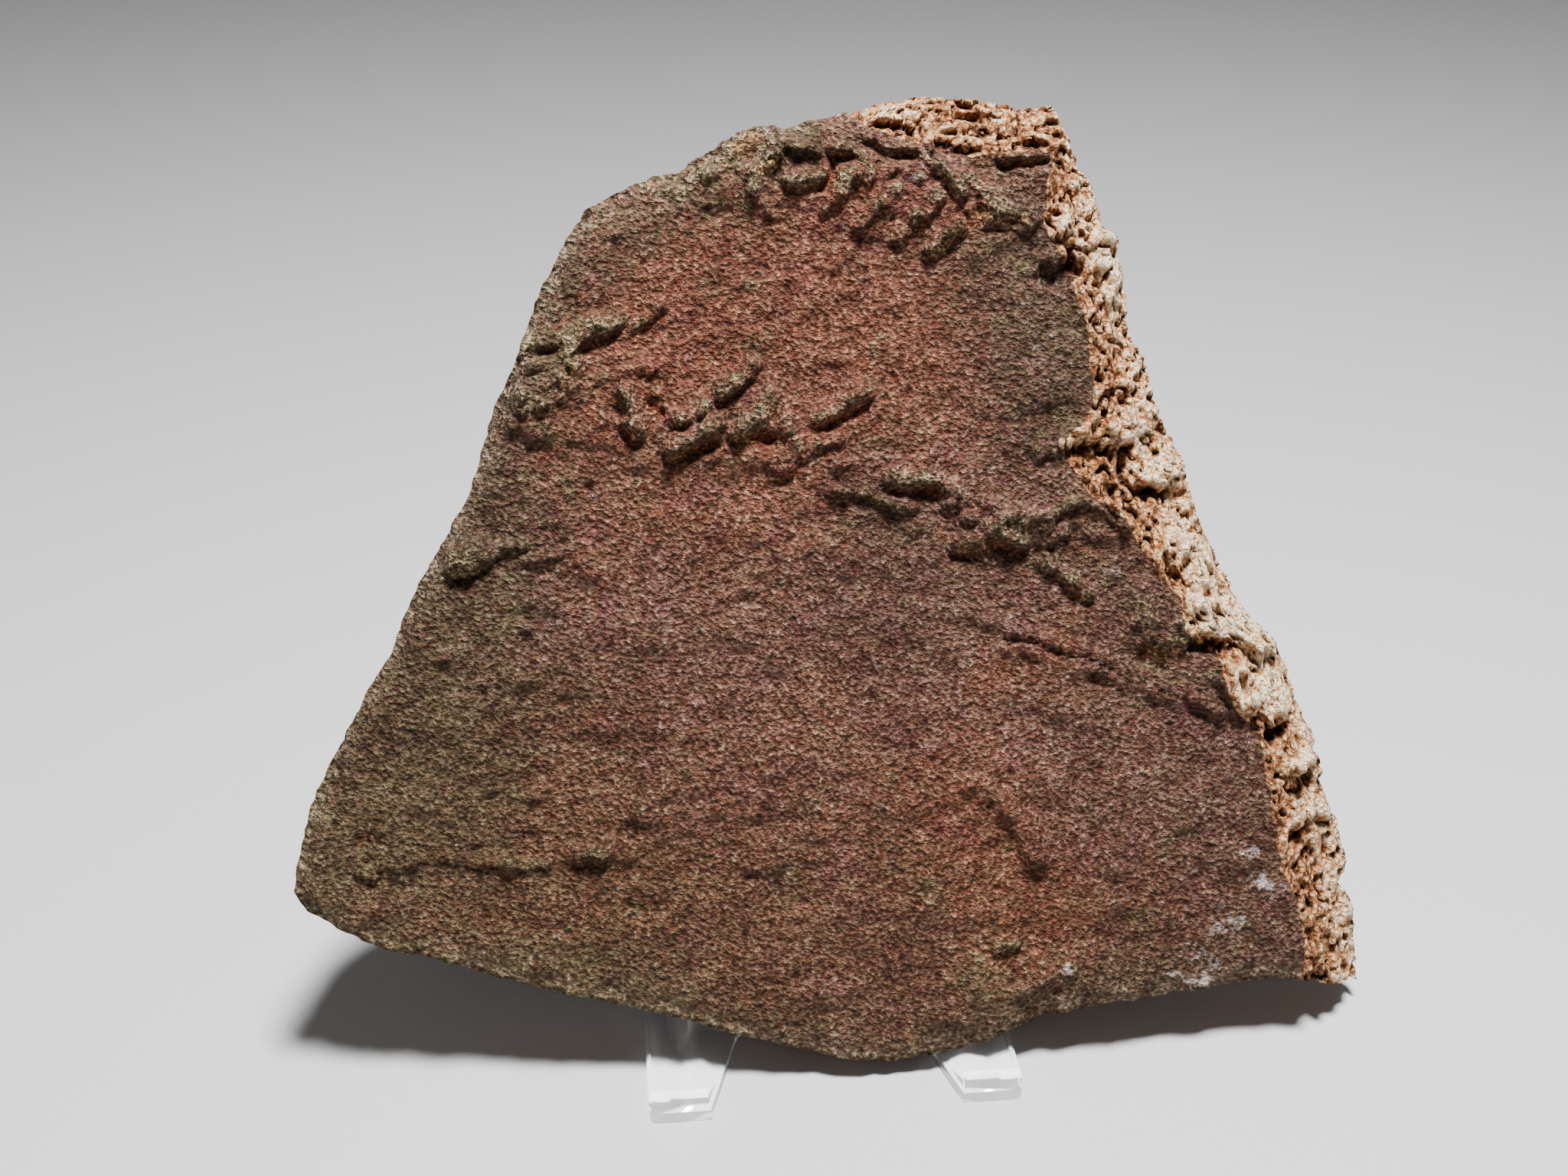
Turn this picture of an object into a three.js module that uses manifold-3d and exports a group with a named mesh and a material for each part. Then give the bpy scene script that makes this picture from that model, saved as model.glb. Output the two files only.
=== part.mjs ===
// Trilobite trackway fossil: a thin slab of fine red-brown sandstone that leans on a small clear easel.
// The slab's face is a bedding plane with raised casts of scratches that walking legs left in mud.
// Its right side and top right are an oblique break, which shows the paler stone inside.
//
// Millimetres, +Z up, +X to the right. The slab faces -Y. The origin lies on the surface that the easel
// stands on, under the middle of the whole piece.

import * as THREE from 'three';
import { mergeVertices } from 'three/addons/utils/BufferGeometryUtils.js';
import Module from 'manifold-3d';

const wasm = await Module();
wasm.setup();

// ---------------------------------------------------------------- driving dimensions

const lean = THREE.MathUtils.degToRad(24);   // how far the slab leans back from upright
const slabThickness = 13;
const breakDepth = 9;                        // how far the oblique break falls at the right rim
const topBreakDepth = 8;                     // and at the top rim
const breakSteps = 4;                        // beds that the oblique break steps down through
const topBreakSteps = 3;
const stepRange = [0.25, 0.95];              // the share of each step in which the break falls
const gap = 0.3;                             // between the stone and the easel

const swayHeights = [0.35, 0.25];            // two gentle waves of the whole face
const rollDepth = 1.3;                       // how far the face rounds down at its old edges
const rollWidth = 2.8;
const bevelDepth = 0.9;                      // and how far it slopes down at its top left edge
const bevelWidth = 7;
const bevelEnd = -4;                         // where along the top this slope ends
const breakRoughness = 0.25;
const footLift = 4.6;                        // the back's lower edge, where it stands on the easel
const footBevel = 1.2;
const backInset = { left: 2, right: 1, top: 1.5 };
const backWaviness = 0.35;
const wallRaggedness = 0.3;
const wallShares = [0.35, 0.75];             // where the side wall has its rings, from face to back

const columns = 56;
const rows = 48;
const coarseRows = 12;                       // rows below the tracks, which are plainer
const coarseShare = 0.4;
const backColumns = 20;
const backRows = 16;

const faceSetback = 6.2;                     // from the easel's tips to the foot of the slab's face
const faceRaise = 4.39;                      // from the surface up to the foot of the slab's face

const easelCentre = -1;                      // the easel stands a little left of the slab's middle
const easelHalfWidth = 24.1;
const easelLength = 64;
const easelHeight = 58;
const ribInner = 16.9;                       // the raised rib of each arm, measured from the middle
const ribOuter = 21.2;
const ribHeight = 2.4;
const plateThickness = 1.6;
const lipHeight = 3.6;
const lipDepth = 2.2;
const lipTaper = 0.3;
const wallThickness = 2;
const tipRadius = 1.4;
const railInner = 16.2;
const railOuter = 22.2;
const armFlare = [12.4, 13];                 // how far the arm's inner edge has come in, and where
const bridgeFront = 23;
const bridgeBack = 33;
const bridgeCurve = [7, 10];                 // the curve where the bridge meets each rear rail
const shoulder = [2, 4];                     // where the arm narrows to its rear rail, about the bridge
const webHeight = 22;
const topDepth = 6.5;                        // of each side plate at its top
const sidePlateMiddle = 19.2;
const beadWidth = 0.6;                       // a thin raised rim along each arm's outer edge
const beadRise = 0.8;
const beadRange = [1, 20.5];
const root = 0.5;                            // how deep the upright walls are sunk into the plate

// ---------------------------------------------------------------- outline of the slab
// Points [u, v]: u runs to the right across the face and v runs up it, and w stands out of it.

const leftEdge = [
  [-68.7, 25], [-67.5, 30], [-65.8, 35.5], [-63.5, 40.5], [-58, 50], [-55.3, 54], [-52, 61.5],
  [-49, 66.5], [-45.3, 72], [-42.7, 78.5], [-39.8, 86], [-37, 91.5], [-34.5, 98], [-31.5, 104], [-28, 109],
];
const rightEdge = [
  [72.5, 2.5], [72, 8], [71.6, 14], [70.3, 16], [70.8, 19.5], [69.9, 25], [68.4, 30.5], [66.5, 37.6],
  [65, 40.5], [63.6, 46], [61.9, 49.5], [57.9, 54], [54.2, 61], [53.6, 63], [52, 66], [50.4, 72],
  [48.7, 77.5], [46.2, 82], [45.2, 87.5], [42.8, 92], [42.3, 99.5], [41.8, 102], [42, 104], [40, 106.5],
  [38.6, 112], [37.2, 113.5], [35.5, 118], [33.4, 121.6],
];
const bottomEdge = [
  [-68.7, 25], [-67, 22.5], [-63.5, 20], [-57, 16.7], [-50.5, 15], [-38, 10.7], [-25, 7], [-13, 2.9],
  [-8, 1.5], [-4, 0], [0.6, -1.2], [7, -1.8], [14, -1.2], [20, 0], [23, 1.6], [26, 2.9], [40, 4.3],
  [58, 5.9], [62.5, 5], [67, 3.6], [72.5, 2.5],
];
const topEdge = [
  [-28, 109], [-24, 111.2], [-19.5, 113.2], [-16, 113.6], [-12, 115.8], [-8, 118.3], [-4.2, 119],
  [-3, 118.4], [1, 119.4], [5, 120.4], [10.6, 122.4], [16.8, 123.2], [22.5, 122.6], [28.7, 121.5],
  [33.4, 121.6],
];

// Where the old face ends and the break begins: u for each v up the right side, v for each u along the top.
const breakLineRight = [
  [2, 62.5], [15, 61.5], [20, 59.5], [30, 57.3], [39.5, 55.8], [42, 53], [45, 51.3], [49, 51], [52.5, 46.5],
  [57, 46], [60, 43.5], [64, 41], [68, 38.5], [71, 34.5], [77.5, 30.5], [80, 34], [83, 35.5], [95, 34.3],
  [102, 31.5], [105, 29.8], [111, 31], [125, 33],
];
const breakLineTop = [[4, 121], [8, 118], [11, 116.5], [15, 115], [22, 114.2], [36, 114.8]];

// ---------------------------------------------------------------- relief of the face
// Each cast is a ridge along a line of [u, v] points. Its lower side is the steeper one.

const casts = [
  // upper row, from the left
  { half: 1.7, high: 0.9, line: [[-8.5, 116.8], [-5.5, 117.6]] },
  { half: 1, high: 0.9, line: [[-3.9, 118.6], [-3.4, 116.4]] },
  { half: 1.1, high: 1.6, line: [[-3, 117], [0.5, 116.3], [2.3, 114.8], [2.3, 112.7], [0.3, 110.4]] },
  { half: 1.2, high: 1, line: [[-1.8, 112.8], [0.2, 113.8]] },
  { half: 1.3, high: 1, line: [[-6.3, 113.2], [-5, 115]] },
  { half: 1.2, high: 0.7, line: [[-12.5, 113], [-11, 114.2]] },
  { half: 1, high: 0.6, line: [[-17.3, 108.8], [-15, 109.1]] },
  { half: 1.1, high: 1.5, line: [[3, 116.4], [6.3, 115.7], [8, 114.2], [8.2, 112.4]] },
  { half: 1.4, high: 1.1, line: [[4, 112.4], [5, 114]] },
  { half: 1.5, high: 1.3, line: [[8.3, 114.9], [11.5, 113.2], [14.6, 112.6]] },
  { half: 1.4, high: 1, line: [[9.8, 111.6], [7.4, 109]] },
  { half: 1.4, high: 1, line: [[14.3, 111], [10.5, 107.6]] },
  { half: 1.3, high: 1.6, line: [[15.3, 115], [17.6, 114], [18.3, 112.3]] },
  { half: 2, high: 1.7, line: [[18.8, 111.9], [21, 110], [24.6, 109.9]] },
  { half: 2, high: 1.6, line: [[23.5, 107.3], [27, 107.2]] },
  { half: 1.2, high: 1.7, line: [[22, 108.6], [19, 106.2], [15.7, 103.6]] },
  { half: 1.1, high: 1.1, line: [[24.5, 114], [30.2, 114.2]] },
  { half: 0.8, high: 0.6, line: [[29, 100.1], [31.2, 100.4]] },
  // middle row, from the left margin down to the break
  { half: 1.5, high: 1.5, line: [[-36.8, 92.2], [-32, 93.6]] },
  { half: 1.3, high: 1.6, line: [[-31.3, 90.6], [-29, 93.2], [-25, 95.4]] },
  { half: 0.9, high: 1, line: [[-22.3, 94.2], [-20.2, 95.7], [-19, 97]] },
  { half: 1.2, high: 1.1, line: [[-31.5, 89], [-29.2, 91]] },
  { half: 2.4, high: 1.5, line: [[-36, 85.4], [-31.8, 87.5]] },
  { half: 1.5, high: 0.8, line: [[-35.5, 89.3], [-32.5, 89.9]] },
  { half: 1.4, high: 1.7, line: [[-23.7, 86], [-23.6, 83], [-23.2, 81.4]] },
  { half: 1, high: 0.8, line: [[-24, 88.7], [-21.3, 89.6]] },
  { half: 1.4, high: 1, line: [[-17, 84.3], [-14, 85.6]] },
  { half: 2, high: 1.9, line: [[-17.8, 80.2], [-15.5, 81], [-14, 82.8]] },
  { half: 1.4, high: 1.4, line: [[-13, 87.3], [-11, 88.7], [-8.2, 90]] },
  { half: 1.9, high: 2.1, line: [[-9.3, 81.4], [-8, 83.5], [-6.8, 86]] },
  { half: 1.6, high: 1.2, line: [[-3.3, 79.4], [-2.5, 82.2]] },
  { half: 1, high: 0.8, line: [[-5.3, 76.2], [-2.6, 76.8]] },
  { half: 1.3, high: 1.5, line: [[0.2, 82.4], [3, 83.4], [6.6, 85.3]] },
  { half: 1, high: 0.9, line: [[0, 79], [3, 79.5]] },
  { half: 0.9, high: 0.7, line: [[2.3, 76.1], [8.6, 76.5]] },
  { half: 0.8, high: 0.7, line: [[9.3, 75.3], [14, 76.5], [15, 77.8]] },
  { half: 1.5, high: 1.7, line: [[9.3, 74.3], [14, 74.3]] },
  { half: 1.1, high: 1.1, line: [[14.7, 72.7], [17.4, 71.7], [20, 70.3]] },
  { half: 1.2, high: 0.9, line: [[2.7, 73.1], [7, 71.8], [12, 70.2]] },
  { half: 1.2, high: 0.9, line: [[19, 69], [22, 70.2]] },
  { half: 2, high: 1.6, line: [[22.7, 67.6], [25.5, 68.4], [28, 68.2]] },
  { half: 1.4, high: 1.4, line: [[18.2, 65.7], [20, 65.6]] },
  { half: 1.3, high: 1.1, line: [[23, 66.4], [26, 66]] },
  { half: 0.9, high: 0.9, line: [[28.3, 65.5], [31.4, 66.4]] },
  { half: 1.1, high: 1.1, line: [[28, 68.5], [31, 70], [34, 70.6], [37, 69.6], [39.3, 67.7]] },
  { half: 1.5, high: 1.3, line: [[29.3, 62.4], [31.8, 60.4], [34.3, 58]] },
  { half: 3.4, high: 1.5, line: [[42, 55], [44.5, 52.6]] },
  // single marks lower on the face
  { half: 2.4, high: 1.9, line: [[-45.3, 65.7], [-43, 67.2]] },
  { half: 1.1, high: 0.9, line: [[-42, 67.8], [-37.5, 67.8]] },
  { half: 0.7, high: 0.6, line: [[-60.3, 27.2], [-55, 28], [-50, 28.3], [-46.5, 28.4]] },
  { half: 0.9, high: 1, line: [[-46.3, 28], [-43.5, 27.9], [-41, 26.6], [-39.5, 25.8]] },
  { half: 1.2, high: 1.3, line: [[-32.8, 27.9], [-29.2, 27.9]] },
  { half: 0.8, high: 0.7, line: [[20.8, 12.9], [23.5, 13.2]] },
  { half: 1.4, high: 1, line: [[18.2, 34.4], [21.3, 33], [23.9, 30.2], [26.2, 24.5]] },
  { half: 1.2, high: 1.3, line: [[29.8, 9.3], [30.3, 9.2]] },
  { half: 1, high: 0.8, line: [[15, 56.6], [24.2, 54], [34.2, 50.8], [41.9, 47.2], [51, 42]] },
  { half: 1.5, high: 0.6, line: [[18.5, 7.6], [24, 7.2], [29.5, 8.2], [34, 7.2], [39, 6.2]] },
];

const hollows = [
  { half: 1.3, high: 1.2, line: [[3, 114.9], [5.8, 115]] },
  { half: 1.5, high: 1.3, line: [[17.5, 111], [18.6, 110.4]] },
  { half: 1.4, high: 2, line: [[20.4, 106], [21.8, 106.9]] },
  { half: 1, high: 1.4, line: [[25, 112.8], [30, 112.9]] },
  { half: 1, high: 1, line: [[8.2, 115.9], [11.3, 115.1]] },
  { half: 1.2, high: 1, line: [[-20.6, 84.2], [-19.8, 82.6]] },
  { half: 1.4, high: 1.1, line: [[-10, 79.2], [-6.3, 79]] },
  { half: 1.2, high: 0.9, line: [[-4.4, 74.4], [-1.6, 76]] },
  { half: 1.3, high: 1.3, line: [[12.8, 71.6], [14.8, 72]] },
  { half: 1.1, high: 1, line: [[22, 65.2], [25.8, 64.2]] },
  { half: 1.1, high: 1, line: [[26.8, 67.1], [28.3, 66.9]] },
  { half: 4.6, high: 1, line: [[34, 66], [38, 63]] },
  { half: 1.3, high: 0.8, line: [[-59.6, 30.6], [-57, 31.2]] },
  { half: 0.9, high: 0.5, line: [[19.4, 31.5], [22.8, 26.2]] },
  { half: 0.9, high: 0.7, line: [[-26.8, 20.1], [-24.6, 20]] },
];

// Ledges, lobes and pits of the broken band, which stand out of its slope or sink into it.
const lobes = [
  { half: 1.8, high: 1.5, line: [[28.3, 77], [33.4, 78.6], [36, 79], [43, 79.2]] },
  { half: 1.9, high: 1.7, line: [[43.3, 72.6], [47.5, 72.6]] },
  { half: 3.6, high: 1.9, line: [[47.5, 65], [49.3, 61.5]] },
  { half: 3.9, high: 2.6, line: [[49.5, 56.5], [52.5, 54.2], [57, 51.6]] },
  { half: 2.9, high: 3.3, line: [[54, 47.3], [55, 45.2]] },
  { half: 2.6, high: 3.2, line: [[59.2, 44], [60.7, 42]] },
  { half: 1.7, high: 1.6, line: [[62.5, 33.8], [65, 34]] },
  { half: 2.3, high: 1.4, line: [[63, 27], [66.5, 27.2]] },
  { half: 2.2, high: 2.1, line: [[34.3, 105.6], [36, 104.6]] },
  { half: 1.9, high: 1.5, line: [[39.2, 104], [40, 103.6]] },
  { half: 1.9, high: 1.5, line: [[37.5, 101.4], [38.5, 101.2]] },
  { half: 1.4, high: 1.3, line: [[40.6, 99.3], [41, 99]] },
  { half: 1.5, high: 1.2, line: [[11, 120.6], [15, 121.2]] },
  { half: 1.4, high: 1, line: [[19.5, 117.8], [24, 117.6], [30, 117.8]] },
];
const pits = [
  { half: 3.4, high: 0.8, line: [[36.2, 74.2], [40.6, 71.6]] },
  { half: 1.8, high: 2.2, line: [[30.8, 98.9], [33.2, 99.7]] },
  { half: 1.3, high: 1.2, line: [[9, 117.5], [14, 117.3]] },
  { half: 1.5, high: 1.3, line: [[62, 31.4], [64.5, 31.2]] },
  { half: 1.6, high: 1.4, line: [[56.5, 39.4], [60.5, 39.2]] },
  { half: 1.2, high: 1, line: [[46.5, 58.8], [47.5, 57.8]] },
];

// ---------------------------------------------------------------- curves and surfaces

const { clamp, lerp, smoothstep } = THREE.MathUtils;

// The value at x of a broken line of [x, value] points.
function along(points, x) {
  if (x <= points[0][0]) return points[0][1];
  for (let i = 1; i < points.length; i += 1) {
    const [x1, y1] = points[i];
    const [x0, y0] = points[i - 1];
    if (x <= x1) return lerp(y0, y1, (x - x0) / (x1 - x0));
  }
  return points[points.length - 1][1];
}

const swap = (points) => points.map(([a, b]) => [b, a]);
const leftAt = swap(leftEdge);
const rightAt = swap(rightEdge);

// An edge as a path, so that a point can be taken a share of the way along it.
function edgePath(points) {
  const path = new THREE.CurvePath();
  for (let i = 1; i < points.length; i += 1) {
    const start = new THREE.Vector2(...points[i - 1]);
    path.add(new THREE.LineCurve(start, new THREE.Vector2(...points[i])));
  }
  return path;
}

const leftPath = edgePath(leftEdge);
const rightPath = edgePath(rightEdge);
const bottomPath = edgePath(bottomEdge);
const topPath = edgePath(topEdge);

// Height of one ridge at (u, v), rounded on top, with its lower side the steeper one.
function ridgeHeight({ half, high, line }, u, v) {
  let best = 0;
  for (let i = 1; i < line.length; i += 1) {
    const [u0, v0] = line[i - 1];
    const [u1, v1] = line[i];
    const du = u1 - u0;
    const dv = v1 - v0;
    const share = clamp(((u - u0) * du + (v - v0) * dv) / (du * du + dv * dv), 0, 1);
    const across = u - u0 - share * du;
    const above = v - v0 - share * dv;
    const distance = Math.hypot(across, above);
    const reach = half * (1.2 + 0.4 * (above / Math.max(distance, 0.001)));
    const fall = clamp(1 - (distance / reach) ** 2, 0, 1);
    best = Math.max(best, high * fall * (2 - fall));
  }
  return best;
}

const highest = (ridges, u, v) => Math.max(...ridges.map((ridge) => ridgeHeight(ridge, u, v)));

// How far down the oblique break a point lies: 0 on the old face, 1 at the outer rim.
function breakShare(u, v) {
  const inner = along(breakLineRight, v);
  const outer = along(rightAt, v);
  const lower = along(breakLineTop, u);
  const upper = along(topEdge, u);
  const right = u > inner ? clamp((u - inner) / (outer - inner), 0, 1) : 0;
  const top = v > lower ? clamp((v - lower) / (upper - lower), 0, 1) : 0;
  return { right, top };
}

// The break falls in steps, because the stone parts along its thin beds.
function steps(share, count) {
  const scaled = share * count;
  const tread = Math.floor(scaled);
  return (tread + smoothstep(scaled - tread, ...stepRange)) / count;
}

// Height of the slab's front, out of the plane of its face.
function frontHeight(u, v) {
  const { right, top } = breakShare(u, v);
  const sway = swayHeights[0] * Math.sin(u / 11 + v / 17) + swayHeights[1] * Math.sin(v / 9 - u / 23);
  const fromLeft = u - along(leftAt, v);
  const fromBottom = v - along(bottomEdge, u);
  const fromTop = along(topEdge, u) - v;
  const rim = Math.min(fromLeft, fromBottom, fromTop);
  const roll = -rollDepth * (1 - smoothstep(rim, 0, rollWidth));
  const bevel = u < bevelEnd ? -bevelDepth * (1 - smoothstep(fromTop, 0, bevelWidth)) : 0;
  const fall = Math.max(breakDepth * steps(right, breakSteps), topBreakDepth * steps(top, topBreakSteps));
  const rough = Math.max(right, top) > 0 ? breakRoughness * Math.sin(u * 2.1) * Math.sin(v * 1.7) : 0;
  const raised = highest(casts, u, v) - highest(hollows, u, v);
  const broken = highest(lobes, u, v) - highest(pits, u, v);
  return sway + roll * (1 - top) + bevel - fall + rough + raised + broken;
}

// A four-sided patch between the slab's edges: s runs from left to right and t from bottom to top.
function patchPoint(s, t) {
  const across = bottomPath.getPoint(s).lerp(topPath.getPoint(s), t);
  const upward = leftPath.getPoint(t).lerp(rightPath.getPoint(t), s);
  const low = bottomPath.getPoint(0).lerp(bottomPath.getPoint(1), s);
  const high = topPath.getPoint(0).lerp(topPath.getPoint(1), s);
  return across.add(upward).sub(low.lerp(high, t));
}

// ---------------------------------------------------------------- the slab

const evenly = (count) => Array.from({ length: count + 1 }, (_, i) => i / count);
const rowShare = (j) => (j <= coarseRows
  ? (coarseShare * j) / coarseRows
  : coarseShare + ((1 - coarseShare) * (j - coarseRows)) / (rows - coarseRows));

function frontPoint(s, t) {
  const { x: u, y: v } = patchPoint(s, t);
  return [u, v, frontHeight(u, v)];
}

// The back is smaller than the face, because its broken edges are worn back.
function backPoint(s, t) {
  const { x: u, y: v } = patchPoint(s, t);
  const foot = along(bottomEdge, u);
  const lift = Math.max(footLift - foot, -footBevel);
  const inside = Math.sin(Math.PI * s) * Math.sin(Math.PI * t);
  const wave = backWaviness * inside * (1 + Math.sin(u / 7) * Math.cos(v / 9));
  const inset = lerp(backInset.left, -backInset.right, s);
  return [u + inset, v + lerp(lift, -backInset.top, t), wave - slabThickness];
}

// A point of the broken side wall, a share of the way from the face's rim to the back's rim.
function wallPoint(s, t, share) {
  const front = frontPoint(s, t);
  const back = backPoint(s, t);
  const ragged = wallRaggedness * (1 + Math.sin(front[0] * 0.9 + front[1] * 1.3)) * Math.sin(Math.PI * share);
  const inward = new THREE.Vector2(1 - 2 * s, 1 - 2 * t).normalize().multiplyScalar(ragged);
  const depth = lerp(front[2], back[2], share);
  const slide = share ** 2;
  return [lerp(front[0], back[0], slide) + inward.x, lerp(front[1], back[1], slide) + inward.y, depth];
}

// The shares [s, t] around the rim, anticlockwise from the lower left corner, in four sides.
function rimSides(across, upward) {
  const sides = [
    across.map((s) => [s, 0]),
    upward.map((t) => [1, t]),
    across.toReversed().map((s) => [s, 1]),
    upward.toReversed().map((t) => [0, t]),
  ];
  return sides.map((side) => side.slice(0, -1));
}

function slabGeometry() {
  const positions = [];
  const faces = [];
  const add = (point) => positions.push(point) - 1;

  const grid = (across, upward, place) => upward.map((t) => across.map((s) => add(place(s, t))));
  const rim = (cells) => {
    const last = cells.length - 1;
    const end = cells[0].length - 1;
    return [
      cells[0].slice(0, end),
      cells.slice(0, last).map((row) => row[end]),
      cells[last].slice(1).toReversed(),
      cells.slice(1).toReversed().map((row) => row[0]),
    ];
  };
  const pave = (cells, turned) => {
    for (let j = 0; j + 1 < cells.length; j += 1) {
      for (let i = 0; i + 1 < cells[j].length; i += 1) {
        const [a, b, c, d] = [cells[j][i], cells[j][i + 1], cells[j + 1][i + 1], cells[j + 1][i]];
        if (turned) faces.push([a, c, b], [a, d, c]);
        else faces.push([a, b, c], [a, c, d]);
      }
    }
  };
  // Joins two rims side by side, also where they have different numbers of points.
  const join = (outer, inner) => {
    outer.forEach((side, k) => {
      const near = [...side, outer[(k + 1) % 4][0]];
      const far = [...inner[k], inner[(k + 1) % 4][0]];
      let i = 0;
      let j = 0;
      while (i + 1 < near.length || j + 1 < far.length) {
        const nearNext = (i + 1) / (near.length - 1);
        const farNext = (j + 1) / (far.length - 1);
        if (nearNext <= farNext) {
          faces.push([near[i], far[j], near[i + 1]]);
          i += 1;
        } else {
          faces.push([near[i], far[j], far[j + 1]]);
          j += 1;
        }
      }
    });
  };

  const across = evenly(columns);
  const upward = Array.from({ length: rows + 1 }, (_, j) => rowShare(j));
  const front = grid(across, upward, frontPoint);
  pave(front, false);

  let previous = rim(front);
  for (const share of wallShares) {
    const ring = rimSides(across, upward).map((side) => side.map(([s, t]) => add(wallPoint(s, t, share))));
    join(previous, ring);
    previous = ring;
  }

  const back = grid(evenly(backColumns), evenly(backRows), backPoint);
  pave(back, true);
  join(previous, rim(back));

  const geometry = new THREE.BufferGeometry();
  geometry.setAttribute('position', new THREE.Float32BufferAttribute(positions.flat(), 3));
  geometry.setIndex(faces.flat());
  geometry.computeVertexNormals();
  return geometry;
}

// ---------------------------------------------------------------- solids for the easel

// Turns a closed geometry into a solid, mirrored to the other side where side is -1.
function toSolid(geometry, side = 1) {
  const bare = geometry.clone();
  bare.deleteAttribute('normal');
  bare.deleteAttribute('uv');
  const merged = mergeVertices(bare.scale(side, 1, 1), 1e-4);
  const corners = new Uint32Array(merged.index.array);
  return new wasm.Manifold(new wasm.Mesh({
    numProp: 3,
    vertProperties: new Float32Array(merged.attributes.position.array),
    triVerts: side < 0 ? corners.reverse() : corners,
  }));
}

function toGeometry(solid) {
  const { vertProperties, triVerts } = solid.getMesh();
  const geometry = new THREE.BufferGeometry();
  geometry.setAttribute('position', new THREE.Float32BufferAttribute(vertProperties, 3));
  geometry.setIndex([...triVerts]);
  geometry.computeVertexNormals();
  return geometry;
}

// A plate that stands upright, its outline drawn in y and z, between two distances from the middle.
function upright(points, from, to) {
  const shape = new THREE.Shape(points.map(([y, z]) => new THREE.Vector2(y, z)));
  const geometry = new THREE.ExtrudeGeometry(shape, { depth: to - from, bevelEnabled: false });
  geometry.translate(0, 0, from);
  geometry.rotateX(Math.PI / 2);
  geometry.rotateZ(Math.PI / 2);
  return geometry;
}

// A solid between a lower and an upper outline, seen from above, that have the same number of points.
function tapered(lower, bottom, upper, top) {
  const count = lower.length;
  const positions = [...lower.map(([x, y]) => [x, y, bottom]), ...upper.map(([x, y]) => [x, y, top])];
  const faces = [];
  for (let i = 0; i < count; i += 1) {
    const next = (i + 1) % count;
    faces.push([i, next, count + next], [i, count + next, count + i]);
    if (i > 1) faces.push([0, i, i - 1], [count, count + i - 1, count + i]);
  }
  const geometry = new THREE.BufferGeometry();
  geometry.setAttribute('position', new THREE.Float32BufferAttribute(positions.flat(), 3));
  geometry.setIndex(faces.flat());
  return geometry;
}

// ---------------------------------------------------------------- the easel
// One clear moulding: two arms with raised ribs and front lips, a bridge, and two sides that lean with
// the slab. Distances to the side are measured from the easel's own middle.

// The line of the rest flange's front face, in y for each height z, parallel to the slab's back.
const restLine = (z) => (
  faceSetback + (z - faceRaise) * Math.tan(lean) + (slabThickness + gap) / Math.cos(lean)
);

function baseShape() {
  const [flareSide, flareBack] = armFlare;
  const [curveAcross, curveBack] = bridgeCurve;
  const [shoulderStart, shoulderEnd] = [bridgeFront - shoulder[0], bridgeFront + shoulder[1]];
  const shape = new THREE.Shape();
  shape.moveTo(railInner, 0);
  shape.lineTo(easelHalfWidth - tipRadius, 0);
  shape.quadraticCurveTo(easelHalfWidth, 0, easelHalfWidth, tipRadius);
  shape.lineTo(easelHalfWidth, shoulderStart);
  shape.lineTo(railOuter, shoulderEnd);
  shape.lineTo(railOuter, easelLength);
  shape.lineTo(railInner, easelLength);
  shape.lineTo(railInner, bridgeBack + curveBack);
  shape.quadraticCurveTo(railInner, bridgeBack, railInner - curveAcross, bridgeBack);
  shape.lineTo(curveAcross - railInner, bridgeBack);
  shape.quadraticCurveTo(-railInner, bridgeBack, -railInner, bridgeBack + curveBack);
  shape.lineTo(-railInner, easelLength);
  shape.lineTo(-railOuter, easelLength);
  shape.lineTo(-railOuter, shoulderEnd);
  shape.lineTo(-easelHalfWidth, shoulderStart);
  shape.lineTo(-easelHalfWidth, tipRadius);
  shape.quadraticCurveTo(-easelHalfWidth, 0, tipRadius - easelHalfWidth, 0);
  shape.lineTo(-railInner, 0);
  shape.lineTo(-flareSide, flareBack);
  shape.quadraticCurveTo(-flareSide + 3, bridgeFront, -3, bridgeFront);
  shape.lineTo(3, bridgeFront);
  shape.quadraticCurveTo(flareSide - 3, bridgeFront, flareSide, flareBack);
  return shape;
}

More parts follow.
